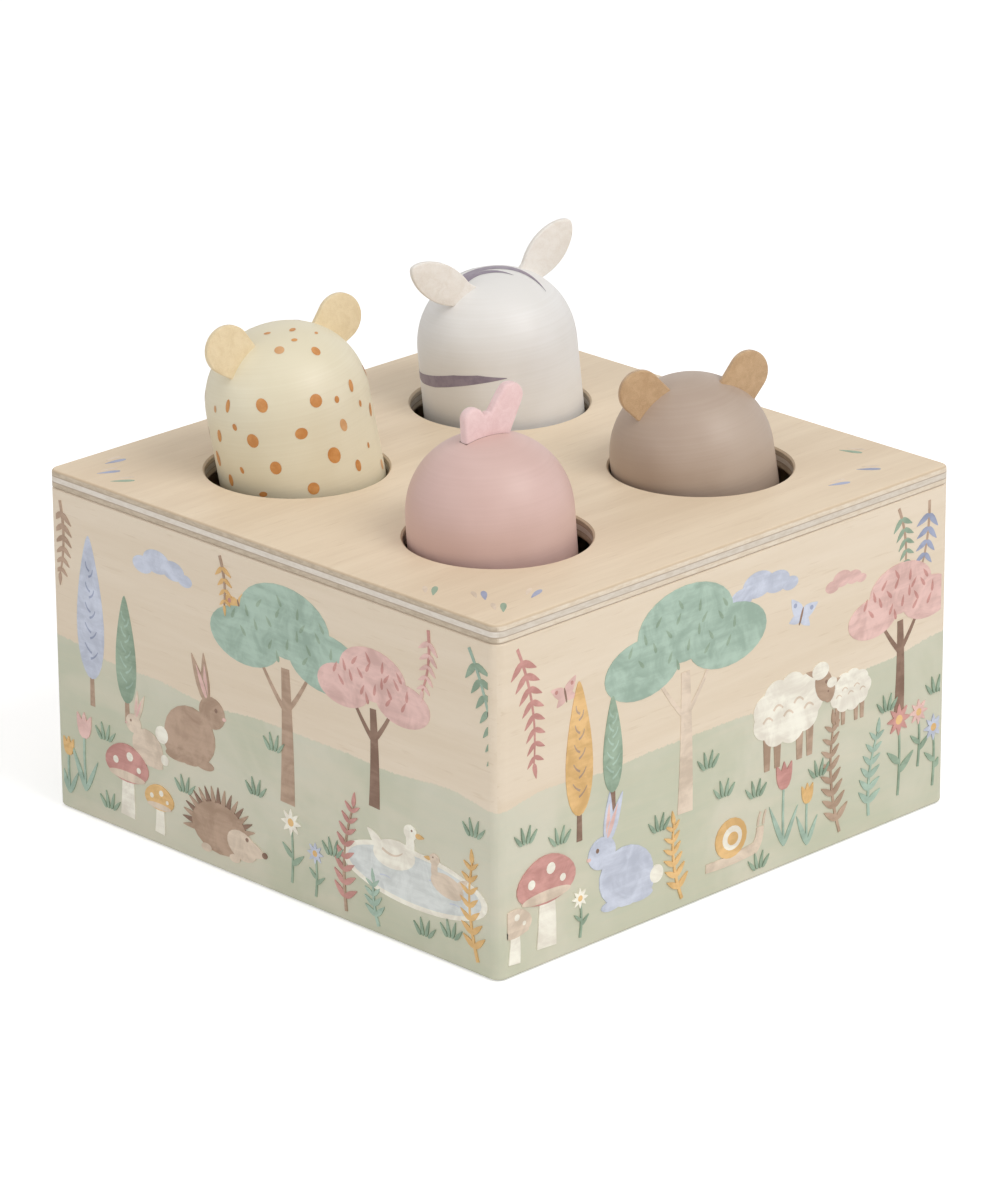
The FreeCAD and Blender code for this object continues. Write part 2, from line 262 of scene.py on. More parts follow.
# How far the picture goes from a panel's middle, which keeps it off the rounded corners
picture_reach = 67.4


def gather(whole, shape):
    """Moves one finished form into a larger one."""
    part = bpy.data.meshes.new("shape")
    shape.to_mesh(part)
    shape.free()
    whole.from_mesh(part)
    bpy.data.meshes.remove(part)


def put_out(name, mesh):
    piece = bpy.data.objects.new(name, mesh)
    bpy.context.scene.collection.objects.link(piece)
    return piece


def on_curve(start, bend, end, t):
    """The place and the direction at t on a stroke that bends towards one point."""
    start, bend, end = Vector(start), Vector(bend), Vector(end)
    here = start * (1 - t) ** 2 + bend * 2 * t * (1 - t) + end * t ** 2
    return here, ((bend - start) * (1 - t) + (end - bend) * t).normalized()


class Print:
    """The inks of one side, drawn in millimetres: u to the right of its middle, v up from its foot."""

    def __init__(self, side, place, slot):
        self.side = side
        self.place = place
        self.slot = slot
        self.passes = {}
        self.layer = 0

    def lay(self, ink, bm):
        """Adds one flat shape over all that was drawn before, and gives it its thickness."""
        self.layer += 1
        rise = first_pass + each_pass * self.layer
        bmesh.ops.translate(bm, verts=bm.verts, vec=(0, 0, -ink_depth))
        grown = bmesh.ops.extrude_face_region(bm, geom=list(bm.faces))
        top = [item for item in grown["geom"] if isinstance(item, bmesh.types.BMVert)]
        bmesh.ops.translate(bm, verts=top, vec=(0, 0, ink_depth + rise))
        self.passes.setdefault(ink, []).append(bm)

    def oval(self, ink, u, v, wide, high, turn=0.0, point=0.0, steps=20):
        """An ellipse. point draws its upper end in, from 0 for round to 1 for a sharp leaf."""
        bm = bmesh.new()
        bmesh.ops.create_circle(bm, cap_ends=True, segments=steps, radius=1.0)
        for vert in bm.verts:
            vert.co.x *= wide / 2 * (1 - point * (0.5 + 0.5 * vert.co.y) ** 1.5)
            vert.co.y *= high / 2
        bmesh.ops.rotate(bm, verts=bm.verts, matrix=Matrix.Rotation(math.radians(turn), 3, "Z"))
        bmesh.ops.translate(bm, verts=bm.verts, vec=(u, v, 0))
        self.lay(ink, bm)

    def leaf(self, ink, u, v, length, wide, turn):
        """A leaf that grows from (u, v) at an angle from upright."""
        way = math.radians(turn)
        u -= math.sin(way) * length / 2
        v += math.cos(way) * length / 2
        self.oval(ink, u, v, wide, length, turn, 0.75, 14)

    def stroke(self, ink, start, bend, end, thick, thin):
        """A curved stroke of the brush, from thick to thin."""
        bm = bmesh.new()
        bmesh.ops.create_grid(bm, x_segments=12, y_segments=1, size=1.0)
        for vert in bm.verts:
            t = (vert.co.x + 1) / 2
            here, way = on_curve(start, bend, end, t)
            half = (thick + (thin - thick) * t) / 2 * (1 if vert.co.y > 0 else -1)
            vert.co = (here.x - way.y * half, here.y + way.x * half, 0)
        self.lay(ink, bm)

    def finish(self):
        """One piece for each ink, trimmed at the picture's sides."""
        for ink, shapes in self.passes.items():
            whole = bmesh.new()
            for shape in shapes:
                gather(whole, shape)
            for edge in (Vector((1, 0, 0)), Vector((-1, 0, 0))):
                cut = bmesh.ops.bisect_plane(whole, geom=whole.verts[:] + whole.edges[:] + whole.faces[:],
                                             plane_co=edge * picture_reach, plane_no=edge, clear_outer=True)
                rim = [item for item in cut["geom_cut"] if isinstance(item, bmesh.types.BMEdge)]
                bmesh.ops.holes_fill(whole, edges=rim)
            bmesh.ops.transform(whole, matrix=self.place, verts=whole.verts)
            bmesh.ops.recalc_face_normals(whole, faces=whole.faces)
            mesh = bpy.data.meshes.new(f"{self.side}_print_{ink}")
            whole.to_mesh(mesh)
            whole.free()
            mesh.materials.append(inks[ink])
            piece = put_out(mesh.name, mesh)
            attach(piece, "box")


class Figure:
    """A pen for one motif, in shares of its size from its own foot; facing -1 turns it to the left."""

    def __init__(self, art, u, v, size, facing=1):
        self.art, self.u, self.v, self.size, self.facing = art, u, v, size, facing

    def at(self, x, y):
        return self.u + x * self.size * self.facing, self.v + y * self.size

    def oval(self, ink, x, y, wide, high, turn=0.0, steps=20):
        self.art.oval(ink, *self.at(x, y), wide * self.size, high * self.size, turn * self.facing, 0.0, steps)

    def leaf(self, ink, x, y, length, wide, turn):
        self.art.leaf(ink, *self.at(x, y), length * self.size, wide * self.size, turn * self.facing)

    def stroke(self, ink, start, bend, end, thick, thin):
        self.art.stroke(ink, self.at(*start), self.at(*bend), self.at(*end),
                        thick * self.size, thin * self.size)


def tuft(art, u, v, ink="sage"):
    for turn in (-38, -12, 14, 40):
        art.leaf(ink, u + turn * 0.03, v, 4.6 - abs(turn) * 0.03, 1.1, -turn)


def sprig(art, u, v, length, turn, stem, leaf, pairs=5, size=4.6):
    """A stem with leaves in pairs, which ends in a leaf."""
    way = math.radians(turn)
    tip = (u - math.sin(way) * length, v + math.cos(way) * length)
    bend = (u - math.sin(way + 0.25) * length * 0.55, v + math.cos(way + 0.25) * length * 0.55)
    art.stroke(stem, (u, v), bend, tip, 0.8, 0.4)
    for i in range(1, pairs + 1):
        t = i / (pairs + 0.5)
        x = u * (1 - t) ** 2 + bend[0] * 2 * t * (1 - t) + tip[0] * t * t
        y = v * (1 - t) ** 2 + bend[1] * 2 * t * (1 - t) + tip[1] * t * t
        long = size * (1.1 - 0.45 * t)
        art.leaf(leaf, x, y, long, long * 0.42, turn + 52)
        art.leaf(leaf, x, y, long, long * 0.42, turn - 52)
    art.leaf(leaf, tip[0], tip[1], size * 0.8, size * 0.34, turn)


def round_tree(art, u, v, high, crown, shade, trunk):
    """A tree with a trunk that forks under three round masses of leaves."""
    art.stroke(trunk, (u, v), (u + 0.6, v + high * 0.3), (u, v + high * 0.62), high * 0.09, high * 0.05)
    fork = (u, v + high * 0.42)
    art.stroke(trunk, fork, (u - high * 0.08, v + high * 0.5), (u - high * 0.17, v + high * 0.64), 1.3, 0.7)
    art.stroke(trunk, fork, (u + high * 0.08, v + high * 0.5), (u + high * 0.17, v + high * 0.66), 1.3, 0.7)
    for du, dv, wide, tall in ((-0.25, 0.70, 0.44, 0.26), (0.25, 0.71, 0.46, 0.27), (0.0, 0.83, 0.56, 0.33)):
        art.oval(crown, u + du * high, v + dv * high, wide * high, tall * high, steps=28)
    for i in range(20):
        turn = i * 2.4
        far = 0.034 * high * math.sqrt(i + 1)
        x = u + far * math.cos(turn) * 2.3
        y = v + 0.76 * high + far * math.sin(turn) * 0.9
        art.leaf(shade, x, y, 2.8, 1.1, 40 * math.sin(i * 1.7))


def tall_tree(art, u, v, high, crown, shade, trunk):
    """A slim pointed tree with short strokes of shade up its middle."""
    art.stroke(trunk, (u, v), (u, v + high * 0.1), (u, v + high * 0.24), 1.6, 1.2)
    art.oval(crown, u, v + high * 0.58, high * 0.27, high * 0.84, 0, 0.62, 28)
    for i in range(5):
        y = v + high * (0.28 + 0.12 * i)
        art.stroke(shade, (u - 0.2, y), (u + 1.2, y + 0.4), (u + 2.2 - 0.25 * i, y + 2.0), 0.55, 0.25)
        art.stroke(shade, (u + 0.2, y + 1.4), (u - 1.0, y + 1.8), (u - 2.0 + 0.25 * i, y + 3.4), 0.55, 0.25)


def toadstool(art, u, v, high, cap):
    art.stroke("cream", (u, v), (u + 0.5, v + high * 0.4), (u, v + high * 0.66), high * 0.26, high * 0.18)
    art.oval(cap, u, v + high * 0.70, high * 0.86, high * 0.50, 0, 0.25, 24)
    art.oval("sand", u, v + high * 0.53, high * 0.66, high * 0.12)
    for du, dv, size in ((-0.2, 0.70, 0.10), (0.06, 0.80, 0.12), (0.22, 0.66, 0.08)):
        art.oval("cream", u + du * high, v + dv * high, size * high, size * high, steps=12)


def daisy(art, u, v, high, petals, eye="ochre"):
    petal = 0.16 * high + 0.9
    art.stroke("sage", (u, v), (u + 0.8, v + high * 0.5), (u, v + high), 0.6, 0.4)
    art.leaf("sage", u + 0.3, v + high * 0.3, high * 0.34, high * 0.12, -50)
    art.leaf("sage", u + 0.3, v + high * 0.42, high * 0.3, high * 0.11, 48)
    for i in range(8):
        art.leaf(petals, u, v + high, petal, petal * 0.5, i * 45)
    art.oval(eye, u, v + high, petal * 0.6, petal * 0.6, steps=12)


def tulip(art, u, v, high, cup):
    art.stroke("teal", (u, v), (u - 0.5, v + high * 0.5), (u, v + high * 0.78), 0.6, 0.45)
    art.leaf("teal", u, v, high * 0.6, 1.7, 24)
    art.leaf("teal", u, v, high * 0.5, 1.5, -28)
    for turn in (22, -22, 0):
        art.leaf(cup, u, v + high * 0.7, high * 0.34, high * 0.17, turn)


def butterfly(art, u, v, size, wings, spots, turn=0.0):
    for side in (-1, 1):
        art.leaf(wings, u, v, size, size * 0.7, turn + side * 52)
        art.leaf(wings, u, v, size * 0.7, size * 0.55, turn + side * 118)
        way = math.radians(turn + side * 52)
        x = u - math.sin(way) * size * 0.62
        y = v + math.cos(way) * size * 0.62
        art.oval(spots, x, y, size * 0.2, size * 0.2, steps=10)
    art.oval("umber", u, v, size * 0.12, size * 0.75, turn)


def cloud(art, u, v, wide, ink="mist"):
    for du, dv, size in ((-0.32, 0.0, 0.34), (-0.08, 0.09, 0.46), (0.2, 0.05, 0.38), (0.4, -0.02, 0.24)):
        art.oval(ink, u + du * wide, v + dv * wide, size * wide, size * wide * 0.62, steps=24)


def pond(art, u, v, wide):
    art.oval("cream", u, v, wide, wide * 0.3, steps=36)
    art.oval("pond", u, v, wide * 0.92, wide * 0.25, steps=36)
    for du, dv in ((-0.2, -0.04), (0.14, 0.03), (0.28, -0.05)):
        art.stroke("mist", (u + du * wide - 1.6, v + dv * wide), (u + du * wide, v + dv * wide + 0.5),
                   (u + du * wide + 1.6, v + dv * wide), 0.3, 0.15)


def duck(art, u, v, size, body, facing=1):
    pen = Figure(art, u, v, size, facing)
    pen.oval(body, 0, 0, 1, 0.52, 8)
    pen.leaf(body, -0.3, 0.05, 0.42, 0.24, 52)
    pen.stroke(body, (0.3, 0), (0.42, 0.2), (0.36, 0.46), 0.24, 0.17)
    pen.oval(body, 0.38, 0.5, 0.3, 0.27)
    pen.leaf("ochre", 0.5, 0.48, 0.2, 0.11, -90)
    pen.oval("umber", 0.42, 0.54, 0.045, 0.045, steps=8)
    pen.stroke("sand", (-0.28, 0.04), (0, -0.1), (0.2, 0.08), 0.05, 0.02)


def rabbit(art, u, v, size, coat, inner, facing=1):
    pen = Figure(art, u, v, size, facing)
    pen.oval(coat, 0, 0.3, 0.72, 0.6, 12)
    pen.oval(coat, -0.16, 0.2, 0.44, 0.4)
    pen.oval("cream", -0.4, 0.2, 0.18, 0.18)
    pen.oval(coat, 0.32, 0.62, 0.36, 0.32)
    for lean in (4, 24):
        pen.leaf(coat, 0.25, 0.7, 0.5, 0.15, lean)
        pen.leaf(inner, 0.25, 0.75, 0.34, 0.07, lean)
    pen.oval(coat, 0.2, 0.06, 0.26, 0.1)
    pen.oval(coat, -0.18, 0.05, 0.34, 0.11)
    pen.oval("umber", 0.38, 0.66, 0.045, 0.05, steps=8)
    pen.oval(inner, 0.49, 0.6, 0.05, 0.04, steps=8)


def hedgehog(art, u, v, size, facing=1):
    pen = Figure(art, u, v, size, facing)
    for i in range(17):
        turn = 96 - i * 10.5
        way = math.radians(turn)
        quill = "umber" if i % 2 else "bark"
        pen.leaf(quill, -0.04 - 0.26 * math.sin(way), 0.22 + 0.2 * math.cos(way), 0.24, 0.07, turn)
    pen.oval("bark", -0.04, 0.26, 0.74, 0.5)
    pen.oval("sand", 0.26, 0.18, 0.4, 0.28, -14)
    pen.leaf("sand", 0.32, 0.2, 0.26, 0.18, -100)
    pen.oval("umber", 0.56, 0.17, 0.07, 0.06, steps=10)
    pen.oval("umber", 0.33, 0.26, 0.045, 0.045, steps=8)
    for x in (-0.22, 0.16):
        pen.oval("sand", x, 0.03, 0.14, 0.08)


def sheep(art, u, v, size, facing=1):
    """Its fleece is drawn the same way round whichever way it faces."""
    pen = Figure(art, u, v, size, facing)
    fleece = Figure(art, u, v, size)
    for x in (-0.24, -0.12, 0.14, 0.26):
        pen.stroke("bark", (x, 0.3), (x, 0.14), (x, 0), 0.09, 0.06)
    for i in range(9):
        turn = i * math.tau / 9
        fleece.oval("cream", 0.27 * math.cos(turn), 0.47 + 0.17 * math.sin(turn), 0.3, 0.27)
    fleece.oval("cream", 0, 0.47, 0.66, 0.44)
    for i in range(5):
        x = -0.24 + 0.12 * i
        y = 0.42 + 0.08 * (i % 2)
        fleece.stroke("sand", (x - 0.05, y), (x, y + 0.07), (x + 0.06, y), 0.025, 0.015)
    pen.oval("bark", 0.42, 0.56, 0.2, 0.3, 18)
    pen.leaf("bark", 0.36, 0.66, 0.16, 0.07, 70)
    pen.oval("cream", 0.38, 0.69, 0.2, 0.15)
    pen.oval("umber", 0.45, 0.58, 0.035, 0.035, steps=8)


def snail(art, u, v, size, shell, facing=1):
    pen = Figure(art, u, v, size, facing)
    pen.stroke("sand", (-0.5, 0.05), (0, 0.02), (0.42, 0.08), 0.12, 0.16)
    pen.stroke("sand", (0.38, 0.06), (0.5, 0.14), (0.5, 0.34), 0.16, 0.13)
    for x in (0.46, 0.56):
        pen.stroke("sand", (x, 0.36), (x, 0.45), (x + 0.05, 0.54), 0.04, 0.03)
    pen.oval(shell, -0.04, 0.34, 0.58, 0.54)
    pen.oval("cream", -0.02, 0.34, 0.36, 0.33)
    pen.oval(shell, -0.01, 0.33, 0.2, 0.18)


# Each side's picture in the order it is printed: the motif, its place and its own sizes and inks
pictures = {
    "left": (
        (cloud, -33, 65, 19), (butterfly, -8, 63, 5.4, "ochre", "berry", 20),
        (tall_tree, -57, 27, 40, "mist", "slate", "bark"),
        (tall_tree, -45.5, 26, 30, "sage", "teal", "bark"), (round_tree, 6, 22, 50, "teal", "sage", "bark"),
        (round_tree, 33, 29, 36, "rose", "berry", "umber"), (rabbit, -25, 22, 23, "bark", "rose"),
        (rabbit, -39, 18, 14, "sand", "rose", -1), (sprig, -66, 73, 17, 178, "bark", "bark", 6, 3.8),
        (sprig, 62, 73, 25, 196, "teal", "sage", 7), (sprig, 50, 73.5, 14, 172, "berry", "rose", 5, 3.6),
        (sprig, -14, 73.5, 11, 186, "bark", "ochre", 4, 3.2), (pond, 45, 16, 44),
        (duck, 39, 20, 13, "cream"), (duck, 55, 17.5, 10, "sand", -1), (hedgehog, -15, 3.5, 24),
        (toadstool, -46, 4, 18, "berry"), (toadstool, -35.5, 3, 12, "ochre"), (daisy, 7, 4, 14, "cream"),
        (daisy, 14.5, 3, 10, "mist", "ochre"), (sprig, 24, 2.5, 25, -6, "bark", "berry", 8, 4.2),
        (sprig, 64, 3, 22, 4, "ochre", "ochre", 7, 4.0), (sprig, 34, 2, 10, 8, "teal", "teal", 4, 3.8),
        (tulip, -60, 6, 18, "rose"), (tulip, -65.5, 4, 13, "ochre"),
    ),
    "front": (
        (cloud, 10, 66, 21), (cloud, 36, 61, 13, "rose"), (butterfly, 22, 57, 5.6, "mist", "slate", -18),
        (butterfly, -50, 59, 4.8, "rose", "berry", 12), (sprig, -64, 73, 27, 190, "berry", "berry", 8, 4.6),
        (sprig, 63, 73, 19, 168, "bark", "slate", 6, 4.4),
        (sprig, 53, 73.5, 14, 190, "bark", "sage", 5, 3.8),
        (round_tree, 54, 25, 36, "rose", "berry", "umber"),
        (round_tree, -14, 22, 52, "teal", "sage", "sand"),
        (tall_tree, -46, 25, 36, "ochre", "bark", "umber"),
        (tall_tree, -36, 29, 26, "sage", "teal", "umber"), (sheep, 18, 24, 27), (sheep, 38, 28, 16, -1),
        (snail, 1, 6, 17, "ochre"), (rabbit, -32, 6, 23, "mist", "rose", -1), (tulip, 17, 5, 19, "berry"),
        (tulip, 24.5, 3, 14, "ochre"), (sprig, 35, 3, 26, 5, "bark", "bark", 8, 4.6),
        (sprig, 44.5, 4, 19, -8, "teal", "teal", 6, 4.4), (daisy, 54, 6, 18, "berry"),
        (daisy, 60.5, 11, 13, "rose"), (daisy, 65.5, 5, 14, "mist"), (toadstool, -56, 4, 22, "berry"),
        (toadstool, -65.5, 3, 13, "sand"), (daisy, -46, 3, 9, "cream"),
        (sprig, -15, 2.5, 18, 8, "ochre", "ochre", 6, 4.0),
    ),
    "right": (
        (cloud, -24, 66, 19), (cloud, 36, 65, 14, "rose"), (butterfly, -3, 62, 5.2, "ochre", "berry", 15),
        (sprig, -63, 73, 22, 196, "teal", "sage", 7), (sprig, 64, 73, 20, 165, "berry", "rose", 6),
        (round_tree, -46, 22, 42, "sage", "teal", "bark"), (round_tree, 18, 23, 50, "teal", "sage", "sand"),
        (tall_tree, 46, 27, 36, "mist", "slate", "bark"), (tall_tree, 57, 29, 27, "rose", "berry", "umber"),
        (sheep, -13, 26, 25, -1), (hedgehog, 39, 6, 24, -1), (pond, -32, 12, 42),
        (duck, -34, 16, 13, "cream", -1), (snail, 5, 5, 16, "rose", -1), (toadstool, 61, 5, 18, "ochre"),
        (tulip, -62, 6, 18, "berry"), (tulip, -56, 4, 13, "ochre"), (daisy, 17, 4, 14, "mist"),
        (daisy, 24, 7, 10, "rose"), (sprig, -7, 3, 22, -5, "bark", "berry", 7, 4.2),
    ),
    "back": (
        (cloud, -12, 66, 20), (butterfly, -50, 62, 5.4, "mist", "slate", -12),
        (butterfly, 8, 60, 4.8, "rose", "berry", 16), (sprig, -65, 73, 21, 188, "ochre", "ochre", 7),
        (sprig, 64, 73, 24, 172, "teal", "teal", 7), (round_tree, -32, 24, 44, "rose", "berry", "umber"),
        (round_tree, 36, 22, 50, "sage", "teal", "bark"), (tall_tree, -58, 27, 36, "teal", "sage", "bark"),
        (tall_tree, 61, 28, 30, "ochre", "bark", "umber"), (rabbit, 1, 23, 23, "sand", "rose", -1),
        (rabbit, 16, 20, 14, "bark", "rose"), (pond, -42, 13, 42), (duck, -45, 17, 13, "sand"),
        (duck, -31, 15, 10, "cream", -1), (hedgehog, 15, 3.5, 22), (toadstool, -13, 4, 18, "berry"),
        (toadstool, -4, 3, 12, "ochre"), (tulip, 46, 5, 18, "rose"), (tulip, 53, 3, 14, "berry"),
        (daisy, 62, 5, 15, "cream"), (daisy, -64, 4, 12, "mist"),
        (sprig, 34, 3, 22, 6, "bark", "bark", 7, 4.4),
    ),
}
tuft_places = {
    "left": ((-53, 20), (-27, 15), (-4, 21), (20, 14), (48, 4), (63, 31), (-52, 4), (2, 33), (56, 6)),
    "front": ((-52, 26), (-22, 20), (-2, 22), (8, 19), (28, 18), (50, 27), (-62, 29), (9, 2), (66, 27),
              (-7, 30)),
    "right": ((-58, 28), (-2, 24), (12, 20), (32, 24), (52, 22), (-30, 28), (66, 27), (28, 3)),
    "back": ((-52, 24), (-18, 22), (26, 18), (54, 24), (-26, 4), (8, 17), (66, 22)),
}
for side, picture in pictures.items():
    outward, rightward = panel_sides[side][:2]
    face = outward * max(corner.dot(outward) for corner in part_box(side + "_panel"))
    axes = Matrix((rightward, (0, 0, 1), outward)).transposed().to_4x4()
    art = Print(side, Matrix.Translation(face) @ axes @ Matrix.Scale(mm, 4), "printed_plywood")
    for motif, *sizes in picture:
        motif(art, *sizes)
    for u, v in tuft_places[side]:
        tuft(art, u, v)
    art.finish()


# Top plate
# Three-ply birch board, 4 mm thick, with four bored holes. Its face veneer is clear lacquered,
# its edges show the plies, and small pairs of leaf strokes are printed near its corners.

def ply_board(name):
    material, tree, surface, place = finish_base(name, 0.5, 0.06)
    face, streaks = grain(tree, place, grain_along_x, paint(236, 218, 192), paint(225, 205, 178),
                          paint(204, 179, 148))
    surface.inputs["Specular IOR Level"].default_value = 0.25
    low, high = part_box("top_plate")
    ply = (high.z - low.z) / 3
    glue = 0.00011
    blur = 0.00002
    parts = split(tree, place)
    normal = tree.nodes.new("ShaderNodeNewGeometry").outputs["True Normal"]
    facing = split(tree, normal)
    sideways = between(tree, sums(tree, "ABSOLUTE", facing[0], 0.0), 0.5, 0.7)
    streaks_on_edge = cloudy(tree, stretched(tree, place, (420.0, 420.0, 1600.0)), 1.0, 3.0, 0.7)
    shade = between(tree, streaks_on_edge, 0.3, 0.7)
    long_front = blended(tree, shade, paint(222, 206, 184), paint(236, 224, 206))
    end_front = blended(tree, shade, paint(212, 201, 186), paint(226, 217, 205))
    long_left = blended(tree, shade, paint(226, 216, 203), paint(238, 230, 219))
    end_left = blended(tree, shade, paint(192, 176, 154), paint(214, 199, 178))
    middle = sums(tree, "SUBTRACT", between(tree, parts[2], low.z + ply - blur, low.z + ply + blur),
                  between(tree, parts[2], high.z - ply - blur, high.z - ply + blur))
    front_edge = blended(tree, middle, long_front, end_front)
    left_edge = blended(tree, middle, end_left, long_left)
    edge = blended(tree, sideways, front_edge, left_edge)
    for level in (low.z + ply, high.z - ply):
        gap = sums(tree, "ABSOLUTE", sums(tree, "SUBTRACT", parts[2], level), 0.0)
        line = outside(tree, gap, glue * 0.6, glue * 1.5)
        edge = blended(tree, sums(tree, "MULTIPLY", line, 0.75), edge, paint(176, 156, 136))
    # Painted shade: the lowest half millimetre of the edge is darkened where the plate sits on the panels
    painted_seam_shade = outside(tree, parts[2], low.z + 0.0001, low.z + 0.0005)
    edge = blended(tree, sums(tree, "MULTIPLY", painted_seam_shade, 0.8), edge, paint(150, 128, 108))
    on_face = between(tree, facing[2], 0.55, 0.75)
    rim = sums(tree, "MULTIPLY", between(tree, facing[2], 0.3, 0.6), outside(tree, facing[2], 0.75, 0.98))
    colour = blended(tree, on_face, edge, face)
    colour = blended(tree, sums(tree, "MULTIPLY", rim, 0.6), colour, paint(196, 172, 142))
    tree.links.new(colour, surface.inputs["Base Color"])
    raised(tree, surface, streaks, 0.1)
    return material


dress("top_plate", ply_board("top board"))

# Place of each pair of strokes from the plate's middle, and the turn of its first stroke
leaf_pairs = (
    (-62, 50, 50), (-60, 57, 64), (-54, 62, 80), (-62, -44, 130), (-57, -53, 140), (-48, -61, 112),
    (-59, -61, 135), (46, -62, 70), (57, -61, 48), (62, -51, 24), (60, 49, 140), (55, 59, 120),
    (61, 60, 135), (-3, 3, 40), (4, -4, 52),
)
plate_face = Matrix.Translation((0, 0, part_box("top_plate")[1].z)) @ Matrix.Scale(mm, 4)
top_print = Print("top", plate_face, "plywood")
for i, (u, v, turn) in enumerate(leaf_pairs):
    way = math.radians(turn)
    top_print.leaf("slate" if i % 3 else "sage", u, v, 5.4, 1.7, turn)
    top_print.leaf("sand", u + 2.3 * math.cos(way), v + 2.3 * math.sin(way), 4.2, 1.4, turn + 9)
top_print.finish()


# Base panel, corner blocks, feet and seats
# Plain sanded wood that shows only from below or through the gaps: a plywood base, sawn beech
# blocks in the corners, and turned beech discs over and under each spring.

def plain_wood(name, way, light, dark, pore, rough=0.6):
    material, tree, surface, place = finish_base(name, rough)
    wood, streaks = grain(tree, place, way, light, dark, pore)
    tree.links.new(wood, surface.inputs["Base Color"])
    raised(tree, surface, streaks, 0.18)
    return material


base_wood = plain_wood("base plywood", grain_along_y, paint(226, 208, 180), paint(208, 184, 150),
                       paint(180, 150, 112))
beech = plain_wood("turned beech", (230.0, 230.0, 18.0), paint(216, 184, 148), paint(196, 158, 118),
                   paint(160, 118, 80))
names = ("leopard", "zebra", "bear", "bird")
dress("base_panel", base_wood)
dress("corner_blocks", beech)
for animal in names:
    dress(animal + "_foot", beech)
    dress(animal + "_seat", beech)


# Screws
# Zinc plated steel wood screws with countersunk heads. They hold the base to its blocks and
# seats, and each foot to its animal, and sit flush.

def plated_steel(name, colour, rough):
    material, tree, surface, place = finish_base(name, rough)
    surface.inputs["Metallic"].default_value = 1.0
    worn = cloudy(tree, place, 900.0, 4.0, 0.6)
    dull = tuple(value - 22 for value in colour)
    tree.links.new(blended(tree, between(tree, worn, 0.35, 0.65), paint(*dull), paint(*colour)),
                   surface.inputs["Base Color"])
    raised(tree, surface, worn, 0.08)
    return material


zinc = plated_steel("zinc plate", (190, 190, 188), 0.34)
for name in ["base_screws", "seat_screws"] + [animal + "_foot_screw" for animal in names]:
    dress(name, zinc)


# Turned bodies
# Each animal is one beech turning, a straight body under a full, slightly square crown,
# sprayed in satin paint. Its face, spots and stripes are painted on top.

body_radius = 18.05
skirt_radius = 18.15
crown_height = 17.7
# How square each crown's shoulder is; 2 is a plain ellipse
crown_square = {"leopard": 2.14, "zebra": 2.14, "bear": 2.02, "bird": 2.1}
body_below = 12.0

# Place in the box: hole column and row, height of the crown above the plate, lean, twist, offset
animals = {
    "leopard": (-1, 1, 32.9, 9.5, -11.5, 0.8),
    "zebra": (1, 1, 31.1, 5.1, -12.4, 0.7),
    "bear": (1, -1, 20.8, 7.5, -20.0, -1.6),
    "bird": (-1, -1, 22.8, 3.3, -11.6, -1.3),
}
hole_offset = 31.25
plate_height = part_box("top_plate")[1].z / mm


def stand(animal):
    """From the animal's own frame in millimetres, with 0 in the plate's face, to the row frame."""
    column, row, crown, lean, twist, shift = animals[animal]
    aside = Vector((1, -1, 0)).normalized() * shift
    foot = Vector((column * hole_offset, row * hole_offset, plate_height)) + aside
    leaning = Matrix.Rotation(math.radians(lean), 4, Vector((-1, -1, 0)))
    twisted = Matrix.Rotation(math.radians(twist), 4, "Z")
    return Matrix.Scale(mm, 4) @ Matrix.Translation(foot) @ leaning @ twisted


def crown_rise(animal, out):
    """How far the crown's surface stands over its shoulder at a distance out from the axis."""
    square = crown_square[animal]
    return crown_height * (1 - min(out / body_radius, 0.999) ** square) ** (1 / square)


def crown_reach(animal, rise):
    """How far the crown's surface is from the axis at a height over its shoulder."""
    square = crown_square[animal]
    return body_radius * (1 - min(max(rise / crown_height, 0.0), 0.999) ** square) ** (1 / square)


def on_skin(point, animal, lift):
    """The point moved straight out or in until it lies a little above the body's surface."""
    shoulder = animals[animal][2] - crown_height
    square = crown_square[animal]
    across = math.hypot(point.x, point.y)
    rise = point.z - shoulder
    if rise <= 0:
        taper = (skirt_radius - body_radius) * -rise / (shoulder + body_below)
        share = (body_radius + taper + lift) / across
        return Vector((point.x * share, point.y * share, point.z))
    size = ((across / body_radius) ** square + (rise / crown_height) ** square) ** (-1 / square)
    share = size * (1 + lift / body_radius)
    return Vector((point.x * share, point.y * share, shoulder + rise * share))


def make_piece(name, bm, material, animal):
    """Stands a finished form in its hole, remembers where each point was grown, and rides it."""
    bmesh.ops.recalc_face_normals(bm, faces=bm.faces)
    mesh = bpy.data.meshes.new(name)
    bm.to_mesh(mesh)
    bm.free()
    grown = mesh.attributes.new("grown", "FLOAT_VECTOR", "POINT")
    for item, vert in zip(grown.data, mesh.vertices):
        item.vector = vert.co * mm
    mesh.transform(stand(animal))
    for face in mesh.polygons:
        face.use_smooth = True
    mesh.materials.append(material)
    piece = put_out(name, mesh)
    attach(piece, animal)
    return piece


def own_place(tree):
    node = tree.nodes.new("ShaderNodeAttribute")
    node.attribute_name = "grown"
    return node.outputs["Vector"]


# The slit under the comb, whose shade is painted dark, in millimetres: middle to the side of the axis,
# half length, half width and how far below the crown's top it is cut
comb_slit_shade = (-0.2, 5.4, 1.45, 9.0)


